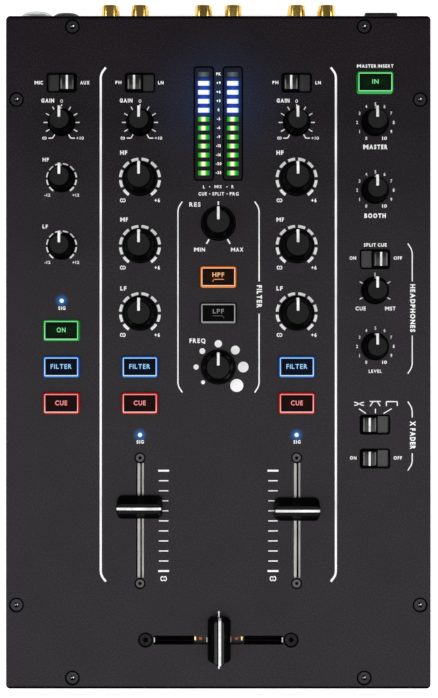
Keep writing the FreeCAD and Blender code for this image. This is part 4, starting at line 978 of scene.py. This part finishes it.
def signal_lens():
    """A shallow dome carried round its axis, brightest in the middle."""
    radius = np.linspace(0.05, LENS_RADIUS, 9)[::-1]
    height = LENS_TOP - LENS_CURVE + np.sqrt(LENS_CURVE ** 2 - radius ** 2)
    profile = np.concatenate([[(LENS_RADIUS, -2.2)], np.c_[radius, height]])
    return shell(turned(profile, 32), np.concatenate([[0.0], 1 - (radius / LENS_RADIUS) ** 2]))


lit_rows = segments(BLUE_ROWS), segments(GREEN_ROWS)
piece("meter_blue_segments", lit_rows[0], segment_blue, STATIC, ["blue_lights"])
piece("meter_green_segments", lit_rows[1], segment_green, STATIC, ["green_lights"])
# The unlit peak segments glow as painted light.
piece("meter_peak_segments", segments(SEGMENT_ROWS[:1]), segment_dark)
lenses = repeated(signal_lens(), SIGNAL_PLACES)
piece("signal_lenses", lenses, signal_blue, STATIC)
# Painted shade: a black ring inside the edge of each meter window.
window_edge_shade = surround(9.82, 54.55, 1.7, 0.72, -0.62, -0.45)
window_edge_shades = repeated(window_edge_shade, [(side * METER_X, METER_Y) for side in SIDES])
piece("meter_gaskets", window_edge_shades, gasket_black)


# Sockets in the rear and front walls

BUSH_HOLE = 4.65
RIPPLES, RIPPLE_DEPTH = 30, 0.014


def facing(shape, x, z, rear=True):
    """A shape made along z, turned to point out of the rear or front wall at x and z."""
    points, blocks, marks = shape
    side = 1 if rear else -1
    right, out = side * points[:, 1] + x, side * (points[:, 2] + WALL_Y)
    return np.stack([right, out, points[:, 0] + z], -1), blocks, marks


def phono_sleeve():
    """A closed wall section turned round the socket's axis: a step at its root and a rolled tip."""
    wall = [(3.2, -1.0), (3.6, -1.0), (3.6, 0.85), (4.12, 0.85), (4.12, 10.5), (3.2, 10.5)]
    return shell(turned(eased_loop(wall, [0.05, 0.05, 0.05, 0.15, 0.5, 0.3]), 40), loop=True)


def phono_core():
    """The insulator turned round the axis, with the contact hole down its middle."""
    wall = [(AXIS, 0.2), (1.65, 0.2), (1.65, 9.7), (3.16, 9.7), (3.16, -1.0), (AXIS, -1.0)]
    return shell(turned(eased(wall, [0.1, 0.25, 0.25, 0.1], 4), 32))


def collar():
    """A flat ring turned round the axis."""
    wall = [(3.65, 0.0), (5.4, 0.0), (5.4, 0.8), (3.65, 0.8)]
    return shell(turned(eased_loop(wall, 0.2), 40), loop=True)


def ring_nut(radius, reach, dome):
    """A turned ring whose face bows from the bush to the rim, where the radius ripples round."""
    shoulder = (radius - 0.4 * (radius - BUSH_HOLE), reach - 0.4 * dome)
    corners = [
        (BUSH_HOLE, 0.0), (radius, 0.0), (radius, reach - dome), shoulder, (BUSH_HOLE, reach)]
    section = eased_loop(corners, [0.1, 0.15, 0.6, 0.5, 0.15])
    angle = np.linspace(0, 2 * np.pi, 240, endpoint=False)
    rim = np.clip((section[:, 0] - 0.9 * radius) / (0.1 * radius), 0, 1)[:, None]
    ripple = 1 - RIPPLE_DEPTH * rim * (0.5 + 0.5 * np.cos(RIPPLES * angle))
    rings = turned(section, 240) * np.stack([ripple, ripple, np.ones_like(ripple)], -1)
    return shell(rings, loop=True)


def square_bezel(half, reach):
    """Rounded squares up the outside and over the face, then circles down the hole for the bush."""
    profile = eased([(0.0, 0.0), (0.0, reach), (1.6, reach)], 0.4, 5)
    outside = stacked(2 * half, 2 * half, 1.2, profile, 9)
    angle = np.arctan2(outside[0, :, 1], outside[0, :, 0])
    inside = BUSH_HOLE * np.stack([np.cos(angle), np.sin(angle)], -1)
    rows = [np.c_[inside, np.full(len(angle), height)] for height in (reach - 0.2, 0.0)]
    return shell(np.concatenate([outside, rows]), loop=True)


def jack_bush(reach):
    """A tube turned round the axis, closed deep inside the case."""
    lip = reach - 0.6
    wall = [(AXIS, -24.0), (3.2, -24.0), (3.2, lip), (4.6, lip), (4.6, -25.0), (AXIS, -25.0)]
    return shell(turned(eased(wall, [0.3, 0.3, 0.25, 0.3], 5), 48))


mounts = {
    mount["name"]: (np.array(mount["pos_m"]) - PANEL_MIDDLE) / MM
    for mount in frame["record"]["mounts"]
}
contacts = {name: (x, z) for name, (x, _, z) in mounts.items() if name.endswith("_contact")}
sleeves = [facing(phono_sleeve(), *at) for at in contacts.values()]
piece("phono_sleeves", sleeves, gold, STATIC, ["phono_sockets"])
piece("phono_collars", [facing(collar(), *at) for at in contacts.values()], socket_plastic)
for side, material in (("left", white_plastic), ("right", red_plastic)):
    places = [at for name, at in contacts.items() if name.endswith(side + "_contact")]
    piece("phono_cores_" + side, [facing(phono_core(), *at) for at in places], material)

JACKS = {
    "plated_jack": (ring_nut(7.5, 5.6, 1.7), 5.6, nickel, ["jack_sockets"]),
    "black_jack": (ring_nut(6.8, 4.9, 1.7), 4.9, socket_plastic, []),
    "right_jack": (square_bezel(7.8, 4.4), 4.4, socket_plastic, []),
    "headphone_jack": (ring_nut(7.0, 2.4, 0.8), 2.4, socket_plastic, []),
}
for name, (holder, reach, material, stands_for) in JACKS.items():
    x, _, z = mounts[name]
    rear = name != "headphone_jack"
    piece(name + "_nut", [facing(holder, x, z, rear)], material, STATIC, stands_for)
    piece(name + "_bush", [facing(jack_bush(reach), x, z, rear)], socket_plastic)


# Print

CHANNELS = (MIC_X, LEFT_X, RIGHT_X)
GAIN_Y, EQ_TOP_Y, EQ_PITCH = 109.3, 82.6, 32.0
EQ_ROWS = EQ_TOP_Y - EQ_PITCH * np.arange(3)
RESONANCE_Y, FREQUENCY_Y = 61.3, -7.0
BOOTH_Y, CUE_MIX_Y, LEVEL_Y = 77.1, 29.4, 2.8
GAIN_INNER, GAIN_OUTER, FINE_LINE = 6.6, 8.6, 0.48
FADER_SCALE_X, FADER_SCALE_Y, FADER_STEP = 26.0, -56.3, 4.77
CROSS_MARK_X, CROSS_MARK = 0.3, 0.75
SIGN_Y, SIGN_LINE = -24.5, 0.45

lines = []
for values in (
    (-55.9, 135.4, -109.0, 1.0, 2.4), (55.9, 135.4, -109.0, 1.0, -2.4),
    (-19.2, 71.7, -19.1, 0.6, 2.1), (19.4, 71.7, -19.1, 0.6, -2.1, 33.7, 18.4),
    (92.2, 51.7, -10.1, 0.5, -2.1, 33.7, 8.0), (92.2, -23.4, -56.2, 0.5, -2.1, -31.0, -48.0),
):
    lines += bracket(*values)
piece("print_brackets", lines, white_ink)

scales = []
for x in CHANNELS:
    scales.append(tick(x, GAIN_Y, 7.8, GAIN_OUTER, 0, FINE_LINE))
    for side in SIDES:
        for turn in (30, 60, 90, 120):
            scales.append(tick(x, GAIN_Y, GAIN_INNER, GAIN_OUTER, side * turn, FINE_LINE))
        ends = np.array([GAIN_INNER, GAIN_OUTER])
        inner, outer = polar(x, GAIN_Y, ends, side * np.full(2, 150.0))
        scales.append(ribbon(eased([inner, outer, outer + (side * 2.0, 0.0)], 0.3, 4), 0.5))
rings = [(MIC_X, y, 6.9, 1.0) for y in EQ_ROWS[:2]]
rings += [(x, y, 9.3, 1.35) for x in (LEFT_X, RIGHT_X) for y in EQ_ROWS]
for x, y, radius, width in rings:
    scales += [dash(x, y, radius, turn, 21.0, width) for turn in range(-135, 136, 30)]
scales += [tick(MASTER_X, CUE_MIX_Y, 6.7, 8.4, turn, 0.42) for turn in range(-120, 121, 60)]
for turn, outer in ((-150, 11.2), (0, 10.5), (150, 11.2)):
    scales.append(tick(0.0, RESONANCE_Y, 8.7, outer, turn, 0.75))
for turn, radius in zip(range(-135, 136, 45), (0.95, 1.25, 1.4, 1.75, 2.1, 2.55, 3.1)):
    scales.append(dot(*polar(0.0, FREQUENCY_Y, 9.3 + radius, turn), radius))
for x in (-FADER_SCALE_X, FADER_SCALE_X):
    for step in range(11):
        long, wide = (5.2, 0.9) if step in (0, 10) else (4.5, 0.52)
        y = FADER_SCALE_Y - FADER_STEP * step
        scales.append(ribbon([(x - long / 2, y), (x + long / 2, y)], wide))
    scales += endless(x, -107.6, 3.1, 2.45, 0.46)
for rear, front in ((-123.1, -126.4), (-148.2, -150.5)):
    scales.append(ribbon([(CROSS_MARK_X, rear), (CROSS_MARK_X, front)], CROSS_MARK))
piece("print_scales", scales, white_ink)

curve = np.array([(64.6, 0.75), (65.6, 0.65), (68.3, -0.65), (69.3, -0.75)])
signs = [ribbon(eased(curve * (1, side) + (0, SIGN_Y), 0.6, 5), SIGN_LINE) for side in SIDES]
signs += [ribbon(path, SIGN_LINE) for path in (
    [(72.0, -23.35), (77.2, -23.35)], [(73.6, -23.45), (72.2, -25.6)],
    [(75.6, -23.45), (77.0, -25.6)], [(66.9, -26.85), (70.2, -29.1)],
    [(74.7, -26.8), (74.7, -29.0)], [(82.4, -26.8), (78.6, -29.1)],
)]
step = [(79.9, -25.5), (79.9, -23.45), (85.1, -23.45), (85.1, -25.5)]
signs.append(ribbon(eased(step, 0.15, 3), 0.5))
piece("print_curve_signs", signs, white_ink)

# Each legend: its text, x, y, height and width
LEGENDS = (
    (PLAIN, 0.0, (
        ("MIC", -85.4, 128.2, 1.7, 3.95), ("AUX", -63.45, 128.2, 1.7, 4.45),
        ("PH", -47.5, 128.3, 1.55, 2.85), ("LN", -27.35, 128.2, 1.58, 2.6),
        ("PH", 27.15, 128.3, 1.55, 2.85), ("LN", 47.45, 128.2, 1.58, 2.6),
        ("SIG", -74.4, 21.0, 1.65, 3.45), ("SIG", -37.15, -42.6, 1.65, 3.45),
        ("SIG", 37.45, -42.6, 1.65, 3.45), ("RES", -11.1, 70.3, 2.1, 5.35),
        ("MIN", -8.95, 48.85, 1.9, 5.2), ("MAX", 8.95, 48.85, 1.9, 5.9),
        ("FREQ", -9.9, 5.5, 2.15, 7.6), ("L", -6.85, 78.65, 1.45, 0.9),
        ("MIX", -0.05, 78.75, 1.45, 3.5), ("R", 6.8, 78.75, 1.45, 1.1),
        ("CUE", -7.45, 75.35, 1.6, 3.95), ("SPLIT", -0.05, 75.35, 1.6, 5.65),
        ("PRG", 7.55, 75.35, 1.6, 4.25), ("MASTER INSERT", 74.6, 136.1, 1.6, 17.4),
        ("SPLIT CUE", 74.6, 51.05, 1.65, 10.85), ("ON", 63.95, 44.8, 1.62, 3.05),
        ("OFF", 85.35, 44.8, 1.62, 3.95), ("ON", 64.15, -50.2, 1.65, 3.05),
        ("OFF", 85.35, -50.2, 1.65, 3.95), ("CUE", 67.65, 20.85, 1.9, 4.8),
        ("MST", 81.75, 20.8, 1.9, 4.95), ("LEVEL", 74.6, -9.0, 1.6, 6.2))),
    (BOLD, 0.0, (
        ("GAIN", -81.1, 119.7, 1.95, 6.1), ("GAIN", -43.85, 119.7, 1.95, 6.1),
        ("GAIN", 30.8, 119.7, 1.95, 6.1), ("HF", -82.1, 91.6, 1.8, 3.0),
        ("LF", -82.35, 59.8, 1.85, 2.55), ("HF", -45.0, 94.95, 2.05, 3.4),
        ("HF", 29.3, 94.95, 2.05, 3.4), ("MF", -44.85, 63.1, 2.05, 3.6),
        ("MF", 29.4, 63.1, 2.05, 3.6), ("LF", -45.15, 30.4, 2.05, 2.95),
        ("LF", 29.1, 30.4, 2.05, 2.95))),
    (HEAVY, 0.0, (("MASTER", 74.7, 97.65, 2.2, 11.6), ("BOOTH", 74.55, 64.95, 2.2, 10.2))),
    (BOLD, -90.0, (
        ("FILTER", 19.5, 26.5, 2.5, 10.85), ("HEADPHONES", 92.45, 21.0, 2.4, 22.7),
        ("X FADER", 92.45, -39.4, 2.65, 13.4))),
)
METER_SCALE = "PK +9 +6 +3 0 -3 -6 -9 -12 -16 -20 -25".split()

legends = [words(*values, turn, weight) for weight, turn, table in LEGENDS for values in table]
for y in EQ_ROWS - 10.35:
    for x in (LEFT_X, RIGHT_X):
        legends += endless(x - 8.15, y, 2.7, 1.85, 0.4)
        legends.append(words("+6", x + 8.2, y, 1.85, 2.55))
for y in EQ_ROWS[:2] - 7.85:
    legends.append(words("-12", -81.3, y, 1.4, 2.9, weight=0.015))
    legends.append(words("+12", -67.8, y, 1.4, 3.3, weight=0.015))
for x in CHANNELS:
    legends.append(words("0", x, GAIN_Y + 10.15, 1.6, 1.25, weight=0.0))
    legends += endless(x - 8.2, GAIN_Y - 7.45, 2.1, 1.35, 0.34)
    legends.append(words("+10", x + 8.75, GAIN_Y - 7.45, 1.4, 3.6, weight=0.01))
for y in (GAIN_Y, BOOTH_Y, LEVEL_Y):
    for number in range(11):
        at = polar(MASTER_X + 0.2, y, 8.7, 30.0 * (number - 5))
        width = 2.25 if number == 10 else None
        legends.append(words(str(number), *at, 1.55, width, weight=0.028))
for text, y in zip(METER_SCALE, SEGMENT_ROWS):
    legends.append(words(text, 0.1, y + 0.1, 1.4, weight=HEAVY))
legends += [dot(x, y, 0.28) for x, y in ((-4.1, 78.7), (4.15, 78.7), (-4.1, 75.35), (4.2, 75.35))]
piece("print_legends", legends, white_ink, merge=True)


# Floor, light and camera

FLOOR_GLOW, WORLD_LIGHT = 0.62, 0.12

floor_mesh = bpy.data.meshes.new("floor")
floor_mesh.from_pydata([(-4, -4, 0), (4, -4, 0), (4, 4, 0), (-4, 4, 0)], [], [(0, 1, 2, 3)])
floor = stood("floor", floor_mesh)

# Rays from the camera and mirrored or passing rays see a white floor; light that falls on things
# doesn't come from its glow.
floor_finish = Finish("floor_white", (0.9, 0.9, 0.9), 0.9, specular=0.0)
rays = floor_finish.add("ShaderNodeLightPath")
seen = floor_finish.sums("MAXIMUM", rays["Is Camera Ray"], rays["Is Glossy Ray"])
seen = floor_finish.sums("MAXIMUM", seen, rays["Is Transmission Ray"])
glow = floor_finish.sums("MULTIPLY", seen, FLOOR_GLOW)
floor_finish.set({"Emission Color": (1.0, 1.0, 1.0, 1.0), "Emission Strength": glow})
floor_mesh.materials.append(floor_finish.material)

world = bpy.data.worlds.new("studio")
bpy.context.scene.world = world
world.use_nodes = True
tree = world.node_tree
camera_ray = added(tree, "ShaderNodeLightPath")["Is Camera Ray"]
inputs = {"Value": camera_ray, "To Min": WORLD_LIGHT, "To Max": 1.0}
level = added(tree, "ShaderNodeMapRange", inputs)[0]
fed(tree.nodes["Background"], {"Color": (1.0, 1.0, 1.0, 1.0), "Strength": level})


def softbox(name, where, toward, width, depth, radiance):
    """A rectangular area light at a place, facing a point, of one brightness over its face."""
    lamp = bpy.data.lights.new(name, "AREA")
    lamp.shape = "RECTANGLE"
    lamp.size, lamp.size_y = width, depth
    lamp.energy = radiance * np.pi * width * depth
    made = stood(name, lamp)
    made.location = where
    made.rotation_euler = Vector(np.subtract(toward, where)).to_track_quat("-Z", "Y").to_euler()


ON_PANEL = (0.0, 0.0, 0.07)
softbox("front_softbox", (0.0, -1.0, 1.75), (0.0, -1.0, 0.0), 3.0, 2.4, 1.62)
softbox("left_softbox", (-1.7, -0.2, 1.0), ON_PANEL, 1.6, 0.5, 5.6)
softbox("right_softbox", (1.7, -0.2, 1.0), ON_PANEL, 1.6, 0.5, 4.6)
softbox("rear_softbox", (0.0, 1.7, 1.0), ON_PANEL, 1.6, 1.0, 2.0)

CAMERA_PLACE = (0.33, 1.57, 950.0)
VIEW_HEIGHT = 331.9
SENSOR = 36.0
camera_data = bpy.data.cameras.new("camera")
camera_data.sensor_fit = "VERTICAL"
camera_data.sensor_height = SENSOR
camera_data.lens = SENSOR * CAMERA_PLACE[2] / VIEW_HEIGHT
camera = stood("camera", camera_data)
camera.location = place(CAMERA_PLACE)
bpy.context.scene.camera = camera
bpy.context.scene.view_settings.view_transform = "Standard"
